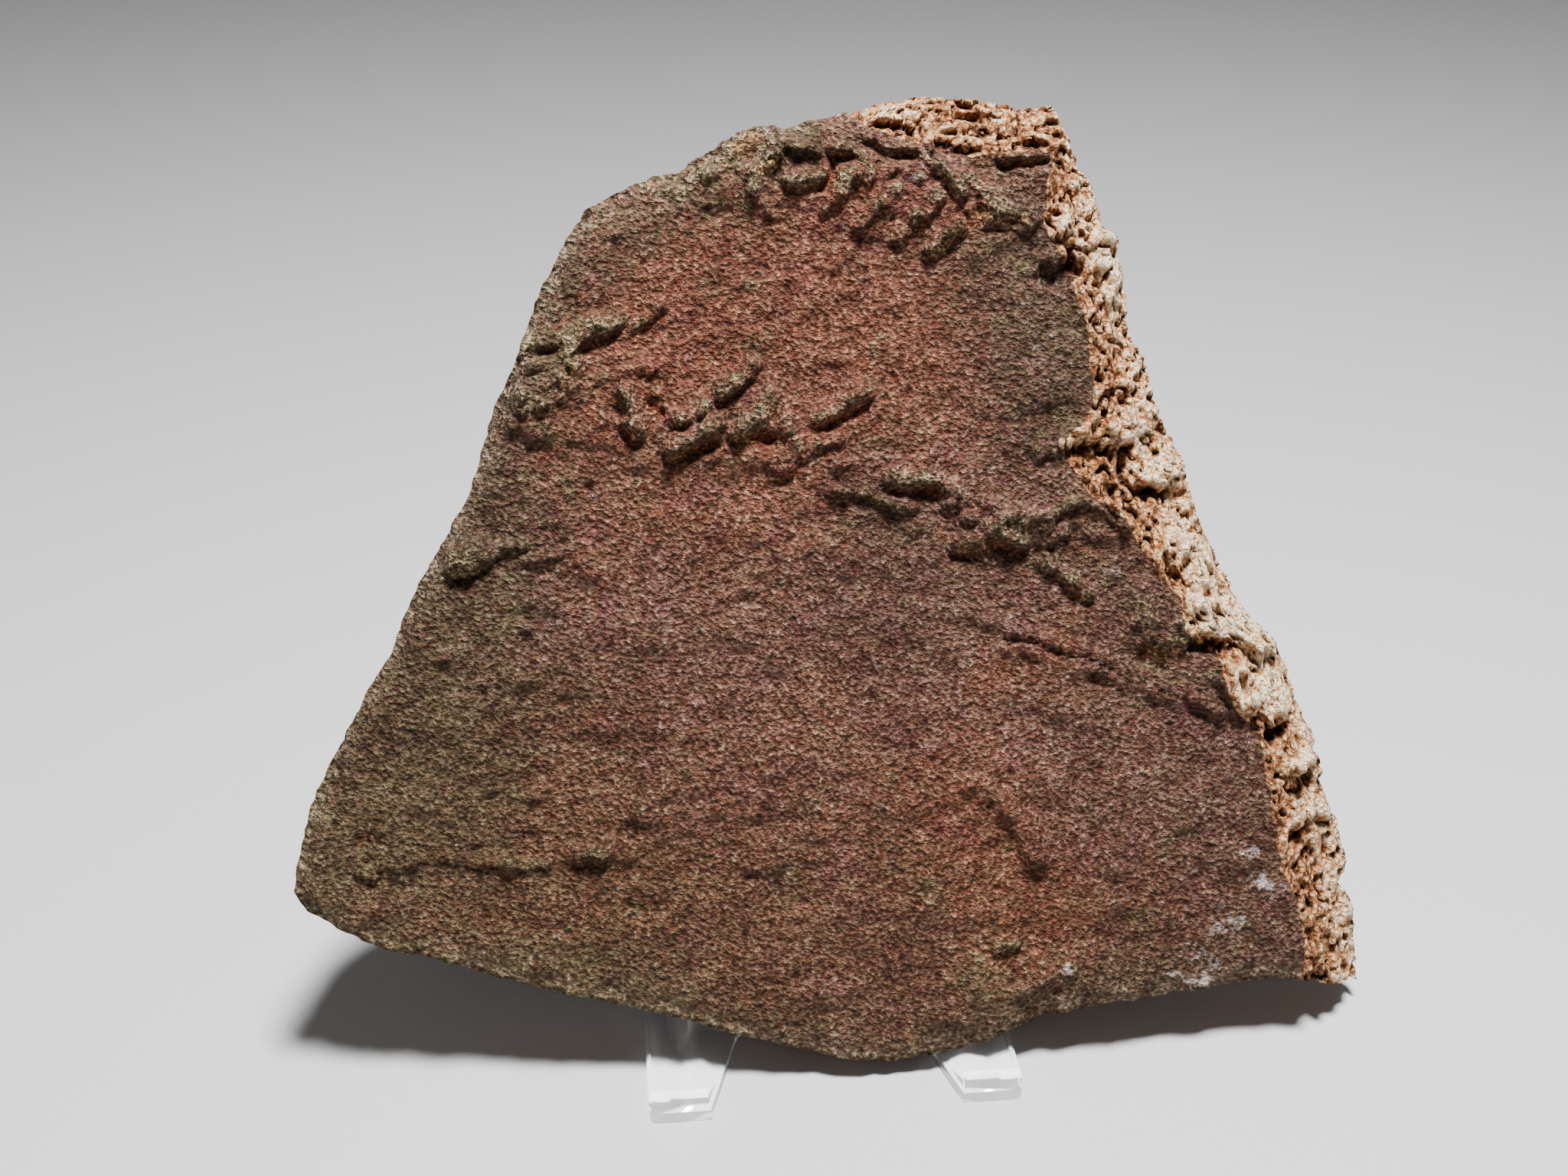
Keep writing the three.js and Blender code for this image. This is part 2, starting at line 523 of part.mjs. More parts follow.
function easelGeometry() {
  const [flareSide, flareBack] = armFlare;
  const base = new THREE.ExtrudeGeometry(baseShape(), {
    depth: plateThickness,
    bevelEnabled: false,
    curveSegments: 5,
  });

  const rib = tapered(
    [[railInner, 0.4], [ribOuter, 0.4], [ribOuter, bridgeFront], [flareSide - 1, bridgeFront], armFlare],
    root,
    [[ribInner, 0.8], [ribOuter, 0.8], [ribOuter, bridgeFront], [ribInner, bridgeFront], [ribInner, flareBack]],
    ribHeight,
  );

  const lipCorner = 0.4 * tipRadius;
  const lipOutline = (inset) => [
    [railInner + inset, inset],
    [easelHalfWidth - tipRadius, inset],
    [easelHalfWidth - lipCorner - inset, lipCorner + inset],
    [easelHalfWidth - inset, tipRadius],
    [easelHalfWidth - inset, lipDepth - inset],
    [railInner + inset, lipDepth - inset],
  ];
  const lip = tapered(lipOutline(0), root, lipOutline(lipTaper), lipHeight);

  const beadInner = easelHalfWidth - beadWidth;
  const [beadFront, beadBack] = beadRange;
  const beadOutline = [
    [beadInner, beadFront], [easelHalfWidth, beadFront + 0.5],
    [easelHalfWidth, beadBack], [beadInner, beadBack],
  ];
  const bead = tapered(beadOutline, root, beadOutline, plateThickness + beadRise);

  const restFlange = upright([
    [restLine(root), root], [restLine(root) + wallThickness, root],
    [restLine(easelHeight) + wallThickness, easelHeight], [restLine(easelHeight), easelHeight],
  ], railInner, railOuter);

  const topBack = restLine(easelHeight) + topDepth;
  const sidePlate = upright([
    [restLine(root) + 1, root], [easelLength - 1, root],
    [topBack - 1, easelHeight], [restLine(easelHeight) + 1, easelHeight],
  ], sidePlateMiddle - wallThickness / 2, sidePlateMiddle + wallThickness / 2);

  const backFlange = upright([
    [easelLength - wallThickness, root], [easelLength, root],
    [topBack, easelHeight], [topBack - wallThickness, easelHeight],
  ], ribInner, ribOuter + 0.3);

  const web = upright([
    [restLine(root), root], [restLine(root) + wallThickness, root],
    [restLine(webHeight) + wallThickness, webHeight], [restLine(webHeight), webHeight],
  ], -railInner - 1, railInner + 1);

  let easel = toSolid(base).add(toSolid(web));
  for (const side of [-1, 1]) {
    for (const piece of [rib, lip, bead, restFlange, sidePlate, backFlange]) {
      easel = easel.add(toSolid(piece, side));
    }
  }
  return toGeometry(easel);
}

// ---------------------------------------------------------------- the whole piece

const sandstone = new THREE.MeshStandardMaterial({ color: 0x8a5a4a, roughness: 0.95, metalness: 0 });
const clearPlastic = new THREE.MeshStandardMaterial({ color: 0xdfe8f0, roughness: 0.08, metalness: 0 });

const slab = new THREE.Mesh(slabGeometry(), sandstone);
slab.name = 'trackway_slab';
slab.position.set(0, faceSetback, faceRaise);
slab.rotation.x = Math.PI / 2 - lean;

const easel = new THREE.Mesh(easelGeometry(), clearPlastic);
easel.name = 'easel';
easel.position.x = easelCentre;

const fossil = new THREE.Group();
fossil.add(slab, easel);
fossil.updateMatrixWorld(true);
const extent = new THREE.Box3().setFromObject(fossil, true);
const middle = extent.getCenter(new THREE.Vector3());
fossil.position.set(-middle.x, -middle.y, -extent.min.z);

export default fossil;
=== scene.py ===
"""A trilobite trackway fossil: a thin slab of red-brown sandstone that leans on a small clear easel."""

import math

import bmesh
import bpy
import numpy as np
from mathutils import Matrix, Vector


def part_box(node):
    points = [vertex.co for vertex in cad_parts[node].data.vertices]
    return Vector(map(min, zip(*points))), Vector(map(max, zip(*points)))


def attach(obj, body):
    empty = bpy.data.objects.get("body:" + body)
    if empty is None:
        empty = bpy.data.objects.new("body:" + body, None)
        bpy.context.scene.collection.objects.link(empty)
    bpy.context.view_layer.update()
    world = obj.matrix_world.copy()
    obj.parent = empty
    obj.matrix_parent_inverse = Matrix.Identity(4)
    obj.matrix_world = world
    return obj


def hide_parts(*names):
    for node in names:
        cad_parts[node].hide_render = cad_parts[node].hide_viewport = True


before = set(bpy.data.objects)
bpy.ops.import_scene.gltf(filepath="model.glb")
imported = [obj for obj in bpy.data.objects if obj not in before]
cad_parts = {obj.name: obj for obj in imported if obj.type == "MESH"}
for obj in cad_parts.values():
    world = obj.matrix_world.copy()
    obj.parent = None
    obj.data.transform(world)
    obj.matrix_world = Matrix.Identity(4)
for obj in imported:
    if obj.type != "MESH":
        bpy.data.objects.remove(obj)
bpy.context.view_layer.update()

# ---------------------------------------------------------------- the camera
# The slab leans back on its easel, and the camera looks down on it a little from the left. A place on the
# slab is in millimetres: u runs to the right across its face, v runs up the face and w stands out of it.

MM = 0.001
LEAN = math.radians(24)
FOOT_ASIDE, FOOT_BEHIND_LIPS, FOOT_HEIGHT = 0.001, 0.0062, 0.00439

easel_low, easel_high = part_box("easel")
FACE_FOOT = np.array([
    (easel_low.x + easel_high.x) / 2 + FOOT_ASIDE, easel_low.y + FOOT_BEHIND_LIPS, FOOT_HEIGHT,
])
RIGHTWARD = np.array([1, 0, 0])
UPWARD = np.array([0, math.sin(LEAN), math.cos(LEAN)])
OUTWARD = np.array([0, -math.cos(LEAN), math.sin(LEAN)])


def on_slab(u, v, w):
    """Places in the scene, in metres, of places on the slab."""
    u, v, w = (np.asarray(part, float)[..., None] for part in np.broadcast_arrays(u, v, w))
    return FACE_FOOT + MM * (u * RIGHTWARD + v * UPWARD + w * OUTWARD)


CAMERA_TURN = math.radians(-5.5)
CAMERA_RISE = math.radians(28)
CAMERA_REACH = 0.2496
CAMERA_AIM = (-4.97, 60.65, 0)
FOCAL_LENGTH, SENSOR_WIDTH = 45, 36

camera_data = bpy.data.cameras.new("camera")
camera_data.lens = FOCAL_LENGTH
camera_data.sensor_width = SENSOR_WIDTH
camera = bpy.data.objects.new("camera", camera_data)
bpy.context.scene.collection.objects.link(camera)
away = Vector((
    math.sin(CAMERA_TURN) * math.cos(CAMERA_RISE),
    -math.cos(CAMERA_TURN) * math.cos(CAMERA_RISE),
    math.sin(CAMERA_RISE),
))
camera.location = Vector(on_slab(*CAMERA_AIM)) + away * CAMERA_REACH
camera.rotation_mode = "QUATERNION"
camera.rotation_quaternion = (-away).to_track_quat("-Z", "Y")
bpy.context.scene.camera = camera

# ---------------------------------------------------------------- the slab's outline
# The slab is a loose piece of one thin bed of sandstone, broken all round. Its left and lower edges are old
# breaks. Its right side and the top right are a fresh, oblique break that shows the paler stone inside.

LEFT_EDGE = [
    (-68.7, 25), (-67.5, 30), (-65.8, 35.5), (-63.5, 40.5), (-58, 50), (-55.3, 54), (-52, 61.5),
    (-49, 66.5), (-45.3, 72), (-42.7, 78.5), (-39.8, 86), (-37, 91.5), (-34.5, 98), (-31.5, 104),
    (-28, 109),
]
RIGHT_EDGE = [
    (72.5, 2.5), (72, 8), (71.6, 14), (70.3, 16), (70.8, 19.5), (69.9, 25), (68.4, 30.5), (66.5, 37.6),
    (65, 40.5), (63.6, 46), (61.9, 49.5), (57.9, 54), (54.2, 61), (53.6, 63), (52, 66), (50.4, 72),
    (48.7, 77.5), (46.2, 82), (45.2, 87.5), (42.8, 92), (42.3, 99.5), (41.8, 102), (42, 104),
    (40, 106.5), (38.6, 112), (37.2, 113.5), (35.5, 118), (33.4, 121.6),
]
BOTTOM_EDGE = [
    (-68.7, 25), (-67, 22.5), (-63.5, 20), (-57, 16.7), (-50.5, 15), (-38, 10.7), (-25, 7), (-13, 2.9),
    (-8, 1.5), (-4, 0), (0.6, -1.2), (7, -1.8), (14, -1.2), (20, 0), (23, 1.6), (26, 2.9), (40, 4.3),
    (58, 5.9), (62.5, 5), (67, 3.6), (72.5, 2.5),
]
TOP_EDGE = [
    (-28, 109), (-24, 111.2), (-19.5, 113.2), (-16, 113.6), (-12, 115.8), (-8, 118.3), (-4.2, 119),
    (-3, 118.4), (1, 119.4), (5, 120.4), (10.6, 122.4), (16.8, 123.2), (22.5, 122.6), (28.7, 121.5),
    (33.4, 121.6),
]
# Where the old face ends: (v, u) up the right side and (u, v) along the top.
BREAK_RIGHT = [
    (2, 62.5), (15, 61.5), (20, 59.5), (30, 57.3), (39.5, 55.8), (42, 53), (45, 51.3), (49, 51),
    (52.5, 46.5), (57, 46), (60, 43.5), (64, 41), (68, 38.5), (71, 34.5), (77.5, 30.5), (80, 34),
    (83, 35.5), (95, 34.3), (102, 31.5), (105, 29.8), (111, 31), (125, 33),
]
BREAK_TOP = [(4, 121), (8, 118), (11, 116.5), (15, 115), (22, 114.2), (36, 114.8)]


def value_at(points, x, swapped=False):
    """The second number of a broken line of points where the first is x, or the other way round."""
    first, second = zip(*points)
    if swapped:
        first, second = second, first
    return np.interp(x, first, second)


def path_at(points, share):
    """Places along a broken line, by their share of its length."""
    places = np.array(points, float)
    steps = np.hypot(*np.diff(places, axis=0).T)
    length = np.concatenate([[0], np.cumsum(steps)]) / steps.sum()
    return np.stack([np.interp(share, length, places[:, axis]) for axis in (0, 1)], -1)


def patch_at(s, t):
    """Places (u, v) in the four-sided outline: s from left to right, t from bottom to top."""
    across = path_at(BOTTOM_EDGE, s) * (1 - t[..., None]) + path_at(TOP_EDGE, s) * t[..., None]
    upward = path_at(LEFT_EDGE, t) * (1 - s[..., None]) + path_at(RIGHT_EDGE, t) * s[..., None]
    corner = [np.array(points[end], float) for points in (BOTTOM_EDGE, TOP_EDGE) for end in (0, -1)]
    low = corner[0] * (1 - s[..., None]) + corner[1] * s[..., None]
    high = corner[2] * (1 - s[..., None]) + corner[3] * s[..., None]
    return across + upward - low * (1 - t[..., None]) - high * t[..., None]


# ---------------------------------------------------------------- relief of the slab's face
# The face is the underside of a bed. Walking legs scratched the mud below, and sand filled the scratches,
# so each track is a row of raised casts. A mark is (half width, height, point, point, ...) in millimetres.

CASTS = [
    # upper row, from the left
    (1.7, 1.0, (-9.3, 116.6), (-7.5, 117.6), (-5, 118)),
    (0.8, 1.1, (-3.9, 118.6), (-3.4, 116.8), (-3.8, 115.3)),
    (0.7, 1.0, (-2.8, 116.6), (-0.9, 116)),
    (0.6, 1.0, (-0.9, 116), (1.2, 115), (2.3, 113.8), (2.2, 112.7)),
    (1.1, 1.7, (1.8, 112.5), (0.1, 112), (-2.3, 112.4)),
    (1.2, 1.6, (-7.2, 111.2), (-6, 113.2), (-4.6, 114.9)),
    (1.1, 0.8, (-12.5, 113), (-10.8, 114.4)),
    (0.9, 0.6, (-17.3, 108.8), (-15, 109.1)),
    (0.7, 1.4, (2.7, 115.8), (5.1, 115.9)),
    (0.7, 1.1, (5.1, 115.9), (7.2, 114.5), (8.2, 112.9), (7.6, 111.5)),
    (1.2, 2.0, (6, 112.7), (4.8, 112), (3.9, 110.6)),
    (0.7, 0.75, (7.6, 117.2), (9.6, 116.5), (11.5, 115.9), (13.9, 115.1)),
    (0.9, 1.0, (9.4, 112), (11.4, 112.8)),
    (1.1, 1.1, (12.6, 112.2), (14.3, 112.7)),
    (1.1, 1.2, (11.8, 111.1), (10, 110), (8.7, 108.8)),
    (0.8, 1.0, (8.7, 108.8), (6, 105.8)),
    (1.3, 1.2, (15.9, 109.7), (13.5, 107.1)),
    (0.9, 1.2, (13.5, 107.1), (11.2, 104.3)),
    (0.7, 0.6, (5.3, 111.2), (3.4, 109.4), (1.8, 108)),
    (1.1, 1.9, (15.3, 114.5), (17.6, 112.6), (19, 110)),
    (1.2, 1.3, (19.4, 112.2), (21, 111), (22.6, 110.3), (24.8, 110.2)),
    (1.3, 1.1, (23.6, 109.3), (25.4, 108.9)),
    (1.8, 2.3, (23.6, 107.2), (25.6, 107.3), (27.4, 106.8)),
    (1.0, 1.7, (21.2, 107.4), (18.4, 105), (15.6, 102.9)),
    (0.6, 0.9, (24.6, 113.9), (27.4, 114.2), (30.3, 114.3)),
    (0.8, 0.6, (29, 100.1), (31.2, 100.4)),
    # middle row, from the left margin down to the break
    (1.4, 1.6, (-36.6, 92.4), (-34, 93.3), (-31.8, 93.4)),
    (1.2, 1.8, (-31.2, 91.6), (-29.2, 93.4), (-27.3, 94.8), (-24.6, 95.9)),
    (0.8, 1.2, (-22.5, 94.6), (-20.6, 95.9), (-19, 97)),
    (1.2, 1.2, (-31.2, 91.4), (-30, 89.7)),
    (2.0, 1.6, (-36.2, 86.2), (-34.2, 86.2), (-32, 87.8)),
    (1.0, 0.9, (-36, 90), (-32.3, 90.3)),
    (1.35, 1.9, (-23.9, 86.4), (-23.3, 84.2), (-22.8, 81.8)),
    (0.9, 0.9, (-24.4, 88.9), (-22.3, 89.5), (-20.6, 89.3)),
    (1.1, 1.6, (-17.7, 82.2), (-16, 83.3), (-14.2, 84.8)),
    (1.3, 2.0, (-18.2, 79.2), (-16.3, 79.9), (-14.2, 81.2), (-12.6, 82.6)),
    (1.0, 1.7, (-12.1, 85.9), (-10.2, 87.4), (-8.1, 89)),
    (1.5, 2.2, (-9.7, 81.3), (-8.3, 82.7), (-6.9, 84), (-5.9, 85.2)),
    (1.1, 1.5, (-3.9, 82.2), (-2.9, 80.2), (-2, 78)),
    (0.9, 0.8, (-6, 76.4), (-3.4, 76.6)),
    (1.1, 1.7, (0, 82.3), (2.5, 83.4), (4.6, 84.3), (6.7, 85.5)),
    (0.9, 0.8, (-0.4, 79), (3, 79.4)),
    (0.8, 0.7, (2.3, 76.2), (5.5, 76.2), (8.8, 76.5)),
    (0.6, 0.7, (9.6, 75.3), (12.2, 75.9), (14.3, 76.6), (14.8, 77.8)),
    (1.3, 1.8, (9.2, 74.2), (11.6, 73.9), (14, 74.4)),
    (0.9, 1.3, (14.6, 74.2), (16.2, 73), (18, 72.3)),
    (1.0, 1.1, (16.6, 71.1), (18.4, 70.7)),
    (0.9, 1.0, (2.2, 73.2), (5, 72.5), (8, 71.5), (11.6, 70.3)),
    (0.9, 0.9, (20.8, 71), (22.6, 70.6)),
    (0.9, 1.0, (18.8, 69.4), (20.8, 68.9), (22, 67.6)),
    (1.5, 1.8, (22.8, 68), (25, 68.8), (27, 68.4), (28.4, 68.2)),
    (1.3, 1.4, (23.2, 66.7), (25.8, 66.4)),
    (1.3, 1.6, (18, 65.4), (19.6, 65.9), (20.5, 65.5)),
    (0.8, 1.1, (21.8, 66.7), (24.2, 65.9), (26.2, 65.1)),
    (0.8, 1.1, (28.3, 65.3), (29.8, 65.9), (31.4, 66.4)),
    (0.9, 1.2, (27.6, 68.4), (30, 69.5), (32, 70.2), (34, 70.5), (36, 69.9), (38, 68.7), (39.4, 67.3)),
    (1.0, 1.4, (29.2, 62.5), (31.6, 60.6), (34.4, 58.1)),
    (3.2, 1.5, (41.4, 56.2), (44, 54), (44.3, 52.2)),
    # single marks lower on the face
    (1.9, 2.0, (-46, 66.2), (-44.6, 66.3), (-42.6, 67.5)),
    (0.7, 0.9, (-42, 67.9), (-40, 67.6), (-37.5, 67.8)),
    (0.7, 0.5, (-39.5, 65.3), (-36, 66.1), (-33, 66.6)),
    (0.6, 0.7, (-60.5, 29.3), (-60, 27.2), (-58.5, 26.6)),
    (0.5, 0.6, (-58, 27.6), (-55, 28), (-50, 28.3), (-46.5, 28.4)),
    (0.7, 0.9, (-46.3, 28.1), (-43.5, 27.9), (-41, 26.9), (-36.5, 27)),
    (1.1, 1.2, (-33, 27.9), (-29.3, 28.1)),
    (0.6, 0.4, (-28, 27.4), (-24, 26.6)),
    (0.9, 0.6, (-10.5, 24.8), (-10.1, 24.7)),
    (0.9, 0.5, (-8.2, 24.1), (-7.8, 24)),
    (0.8, 1.4, (20.8, 12.9), (23.5, 13.2)),
    (1.1, 1.7, (29.8, 9.3), (30.3, 9.2)),
    (1.5, 0.6, (18.5, 7.6), (24, 7.2), (29.5, 8.2), (34, 7.2), (39, 6.2)),
]
# Faint ridges that sweep down to the right, from currents or from a dragged leg.
RIPPLES = [
    (1.5, 1.3, (18.2, 34.4), (21.3, 33), (23.9, 30.2), (25.7, 27), (26.4, 23.8)),
    (0.8, 0.45, (15, 56.6), (18.9, 55.9), (24.2, 54)),
    (0.9, 1.2, (24.2, 54), (34.2, 50.8), (41.9, 47.2), (48.1, 43.9), (51, 42)),
    (0.8, 0.9, (22, 52.4), (26.5, 51.2), (31, 49.4), (37.2, 47.4), (41.8, 45.3), (45.7, 43.5)),
    (0.8, 0.25, (22, 51.4), (28, 49.6), (34, 47)),
    (1.8, 0.4, (12, 44), (20, 46.6), (28, 45.2), (36, 41.6), (43, 38)),
    (2.2, 0.5, (16, 40), (24, 35.6), (30, 32.6), (40, 29.6)),
    (1.6, 0.4, (43, 29.6), (50, 26), (54, 22)),
    (2.0, 0.22, (-52, 57), (-44, 52), (-36, 51)),
    (1.8, 0.2, (-55, 47), (-48, 43.6), (-42, 41.4)),
    (2.2, 0.35, (-24, 46.4), (-19, 42), (-14, 41), (-8, 41.6)),
    (1.4, 0.3, (-29, 60), (-25, 57.4), (-22, 57.6)),
    (1.8, 0.3, (-22, 63), (-16, 66), (-10, 69)),
    (1.8, 0.3, (-12, 61), (-5, 64.6), (2, 67)),
    (1.8, 0.2, (-22, 53.4), (-14, 55.4), (-4, 58)),
    (1.6, 0.2, (-40, 60), (-32, 62), (-25, 61)),
    (2.0, 0.35, (-2, 30), (6, 33), (14, 33)),
    (1.8, 0.2, (-38, 36), (-30, 34), (-22, 35)),
    (1.8, 0.35, (2, 20), (10, 17.6), (18, 17.4)),
]
# Broad swells that carry the tracks.
SWELLS = [
    (5.5, 1.0, (-34, 87), (-24, 83), (-14, 82), (-6, 82), (4, 80)),
    (4.5, 0.7, (6, 75), (16, 72), (27, 68.5), (36, 68)),
    (5.0, 0.9, (-9, 114), (2, 112.5), (12, 110), (24, 106)),
    (4.0, 0.5, (-28, 31), (-18, 36.5), (-6, 36)),
    (3.0, 0.5, (18, 8), (30, 8.5), (42, 7.5)),
]
HOLLOWS = [
    (1.3, 1.3, (-8.7, 115.4), (-7.2, 116), (-6.2, 116.9)),
    (1.1, 0.9, (-8.4, 115.2), (-6.8, 114.6)),
    (0.9, 1.2, (-5.6, 112.9), (-3.9, 114)),
    (0.9, 1.2, (-10.3, 113.2), (-10, 112.9)),
    (0.7, 0.5, (-2.4, 115), (-1, 114.5)),
    (0.5, 1.2, (3.2, 114.4), (3.3, 113), (2.9, 111.4), (1.8, 110.4)),
    (0.7, 1.0, (3.6, 114.4), (5.4, 114.2)),
    (0.5, 1.0, (9.2, 113.8), (9.2, 112.4), (8.4, 110.6)),
    (0.7, 0.5, (8.3, 115.6), (11.2, 114.5), (13.6, 113.8)),
    (0.9, 0.9, (-16.2, 108.2), (-15.4, 108.3)),
    (1.2, 0.4, (4, 111), (6.4, 109.4)),
    (0.9, 0.7, (16.4, 111.6), (17, 110.2)),
    (1.1, 2.6, (20.2, 105.9), (21.6, 106.8)),
    (0.9, 1.0, (16.8, 102.9), (19.4, 104.8)),
    (1.0, 1.3, (23.6, 105.9), (25.6, 105.6), (27, 105.8)),
    (0.6, 1.3, (24.6, 113.2), (27.5, 112.9), (30.1, 113.2)),
    (0.7, 0.9, (16.4, 115), (18.6, 114.4), (21.8, 114.4)),
    (0.8, 0.8, (-35.8, 91), (-33.4, 91.4), (-31.6, 91.7)),
    (0.8, 0.9, (-29, 92), (-27, 92.2), (-25, 93.4)),
    (0.9, 0.9, (-30.4, 88.8), (-31.6, 86.6)),
    (0.7, 0.8, (-35, 83.8), (-33, 84.4), (-30.6, 83.7)),
    (0.6, 0.7, (-29.8, 83.8), (-28, 83.6)),
    (1.0, 1.1, (-24.6, 80.6), (-23, 80.2)),
    (0.5, 0.5, (-28, 80.6), (-26.2, 81.6)),
    (1.0, 1.3, (-20.6, 84), (-19.7, 83)),
    (0.8, 1.0, (-18.2, 77.6), (-15.6, 77.8), (-12.6, 79)),
    (0.6, 0.9, (-11.2, 84.6), (-9.2, 86.2), (-7.2, 87.8)),
    (1.0, 0.8, (-5.9, 82.9), (-5.4, 83.8)),
    (1.0, 1.3, (-9.6, 79.6), (-7.8, 79.4), (-6, 79.4)),
    (0.6, 1.3, (-1.7, 77.7), (-1.6, 77.6)),
    (1.2, 0.9, (-4.4, 74.6), (-2.2, 76)),
    (0.8, 1.3, (1.8, 81.3), (4, 81.9), (6, 82.8)),
    (0.5, 0.7, (3.9, 75.2), (5.8, 75.1)),
    (0.5, 0.7, (7, 75.1), (8.4, 74.9)),
    (0.5, 0.6, (10.6, 75), (12.4, 75.3), (14, 75.8)),
    (1.1, 2.0, (12.6, 71.9), (14.9, 71.8)),
    (2.2, 0.5, (5.5, 70.4), (9.5, 68.8)),
    (0.8, 0.9, (17.6, 69.6), (19.8, 69.9)),
    (0.7, 0.9, (20.9, 68.4), (21.8, 68.3)),
    (0.8, 1.1, (15.4, 66.7), (17, 65.6), (18, 64.4)),
    (0.9, 1.2, (17.7, 63.8), (20, 63.9)),
    (0.9, 1.5, (21.5, 65.4), (23.8, 64.5), (25.8, 63.6)),
    (0.8, 1.2, (26.8, 67), (27.9, 67), (28.6, 67.3)),
    (0.8, 1.0, (28.2, 64.4), (30.4, 65.2)),
    (4.6, 0.8, (34, 66), (38, 63)),
    (0.8, 1.0, (29.6, 61), (31.8, 58.9), (34, 56.8)),
    (0.8, 0.8, (34.4, 59.7), (36, 59.8)),
    (0.7, 0.9, (38.2, 58.5), (39.4, 58.8)),
    (0.5, 0.6, (39.6, 56.3), (42, 55.7)),
    (1.3, 1.3, (41.6, 49.9), (44, 49.5), (46.2, 49.6)),
    (0.7, 0.9, (-46, 64), (-43.4, 64.2)),
    (0.6, 0.5, (-26.6, 57.5), (-26.4, 57.4)),
    (0.6, 0.5, (-26.2, 55.2), (-25.8, 55.2)),
    (0.7, 0.4, (-45, 51), (-42, 51)),
    (0.6, 0.4, (-26, 66.8), (-24, 66.8)),
    (0.9, 1.0, (-59.8, 30.4), (-58.4, 31.4), (-57, 31.2)),
    (0.6, 0.7, (-57.6, 27.5), (-55.6, 27.6)),
    (0.6, 0.7, (-33.2, 26.5), (-28.8, 26.5)),
    (0.8, 0.7, (-26.8, 20.1), (-24.6, 20)),
    (0.9, 0.5, (18.6, 32.4), (20.4, 30.2), (22.2, 27.2), (23.4, 25)),
    (0.6, 0.5, (20.6, 12), (23.6, 12.2)),
]
# Ledges and lobes that stand out of the broken slope, and pits that sink into it.
LOBES = [
    (1.3, 1.5, (28.3, 77), (30.6, 77.7), (33.4, 78.6), (36, 79), (40, 78.9), (43, 79.2)),
    (1.5, 1.9, (42.3, 72.8), (45, 73), (47.6, 73.4)),
    (2.6, 2.2, (46.6, 65.2), (48.3, 63.2), (50, 61)),
    (3.7, 2.8, (49.2, 56.8), (51, 55), (54, 53.4), (57.6, 51.6)),
    (2.5, 3.4, (53.8, 47.4), (54.4, 46), (55.2, 44.8)),
    (2.3, 3.2, (58.9, 44.6), (59.8, 43), (60.9, 42)),
    (1.4, 1.8, (62.2, 34.2), (64.8, 34.6)),
    (2.0, 1.5, (62.6, 27.4), (66.6, 27.6)),
    (2.2, 2.4, (33.6, 106.2), (34.8, 105.2), (35.8, 103.8)),
    (1.7, 1.7, (39, 104.4), (40, 103.8)),
    (1.6, 1.6, (37.3, 101.6), (38.6, 101.4)),
    (1.3, 1.4, (40.5, 99.4), (41.1, 99)),
    (1.2, 1.2, (39.4, 96.6), (40.2, 96.8)),
    (1.4, 1.3, (9.5, 120.4), (12.5, 121), (15.6, 121.2)),
    (0.7, 1.5, (15.5, 115.4), (15.9, 117), (15.5, 119)),
    (0.9, 1.0, (17, 116.9), (20, 116.6), (24, 116.8), (31, 116.9)),
    (1.1, 0.8, (17.6, 118.8), (21, 118.4)),
    (1.2, 0.9, (25, 119.6), (27, 119)),
]
PITS = [
    (3.4, 0.8, (36.2, 74.2), (40.6, 71.6)),
    (0.7, 0.9, (33.4, 76.7), (36.4, 76.9), (38.8, 76.3), (41.4, 76.9)),
    (1.5, 2.6, (30.6, 98.9), (32, 99.2), (33.2, 99.7)),
    (0.8, 0.9, (9.4, 118.7), (12, 118.9), (14.4, 118.4)),
    (0.6, 1.2, (16.8, 116.1), (18.4, 116.1)),
    (0.6, 1.0, (19, 115.4), (24, 115.3), (30, 115.6)),
    (1.0, 1.0, (21.5, 118), (23.6, 118.3)),
    (0.9, 0.9, (27, 118), (29, 117.8)),
    (1.3, 1.4, (62, 31.5), (64.8, 31.4)),
    (1.4, 1.6, (56.4, 39.2), (58.8, 38.6), (61, 39.4)),
    (1.0, 1.4, (46.2, 59), (47.4, 58.2)),
    (1.2, 1.6, (48.5, 51.2), (52, 50), (56, 49)),
    (0.8, 1.2, (61, 24.9), (65, 24.9)),
    (0.8, 1.2, (42.6, 71.3), (44.6, 70.8)),
    (0.8, 1.0, (35, 104.4), (36, 104)),
]
CAST_HEIGHT = 0.9
HOLLOW_DEPTH = 0.65
# How deep the break falls below the old face, and in how many steps.
RIGHT_FALL, RIGHT_BEDS = 9, 4
TOP_FALL, TOP_BEDS = 8, 3
# How far the old face drops at its rim and at its bevel, and over what width.
RIM_DROP, RIM_WIDTH = 1.3, 2.8
BEVEL_DROP, BEVEL_WIDTH = 0.9, 7
REPEAT = 97


def smooth_step(x, low, high):
    """0 at low, 1 at high and a smooth rise between."""
    share = np.clip((x - low) / (high - low), 0, 1)
    return share * share * (3 - 2 * share)


def mottle(u, v, size, seed):
    """Smooth random heights from -1 to 1, one bump to each size across. They repeat after REPEAT bumps."""
    table = np.random.default_rng(seed).uniform(-1, 1, (REPEAT, REPEAT))
    a, b = u / size, v / size
    column, row = np.floor(a).astype(int), np.floor(b).astype(int)
    x, y = smooth_step(a - column, 0, 1), smooth_step(b - row, 0, 1)
    left, right = column % REPEAT, (column + 1) % REPEAT
    under, over = row % REPEAT, (row + 1) % REPEAT
    low = table[left, under] * (1 - x) + table[right, under] * x
    high = table[left, over] * (1 - x) + table[right, over] * x
    return low * (1 - y) + high * y


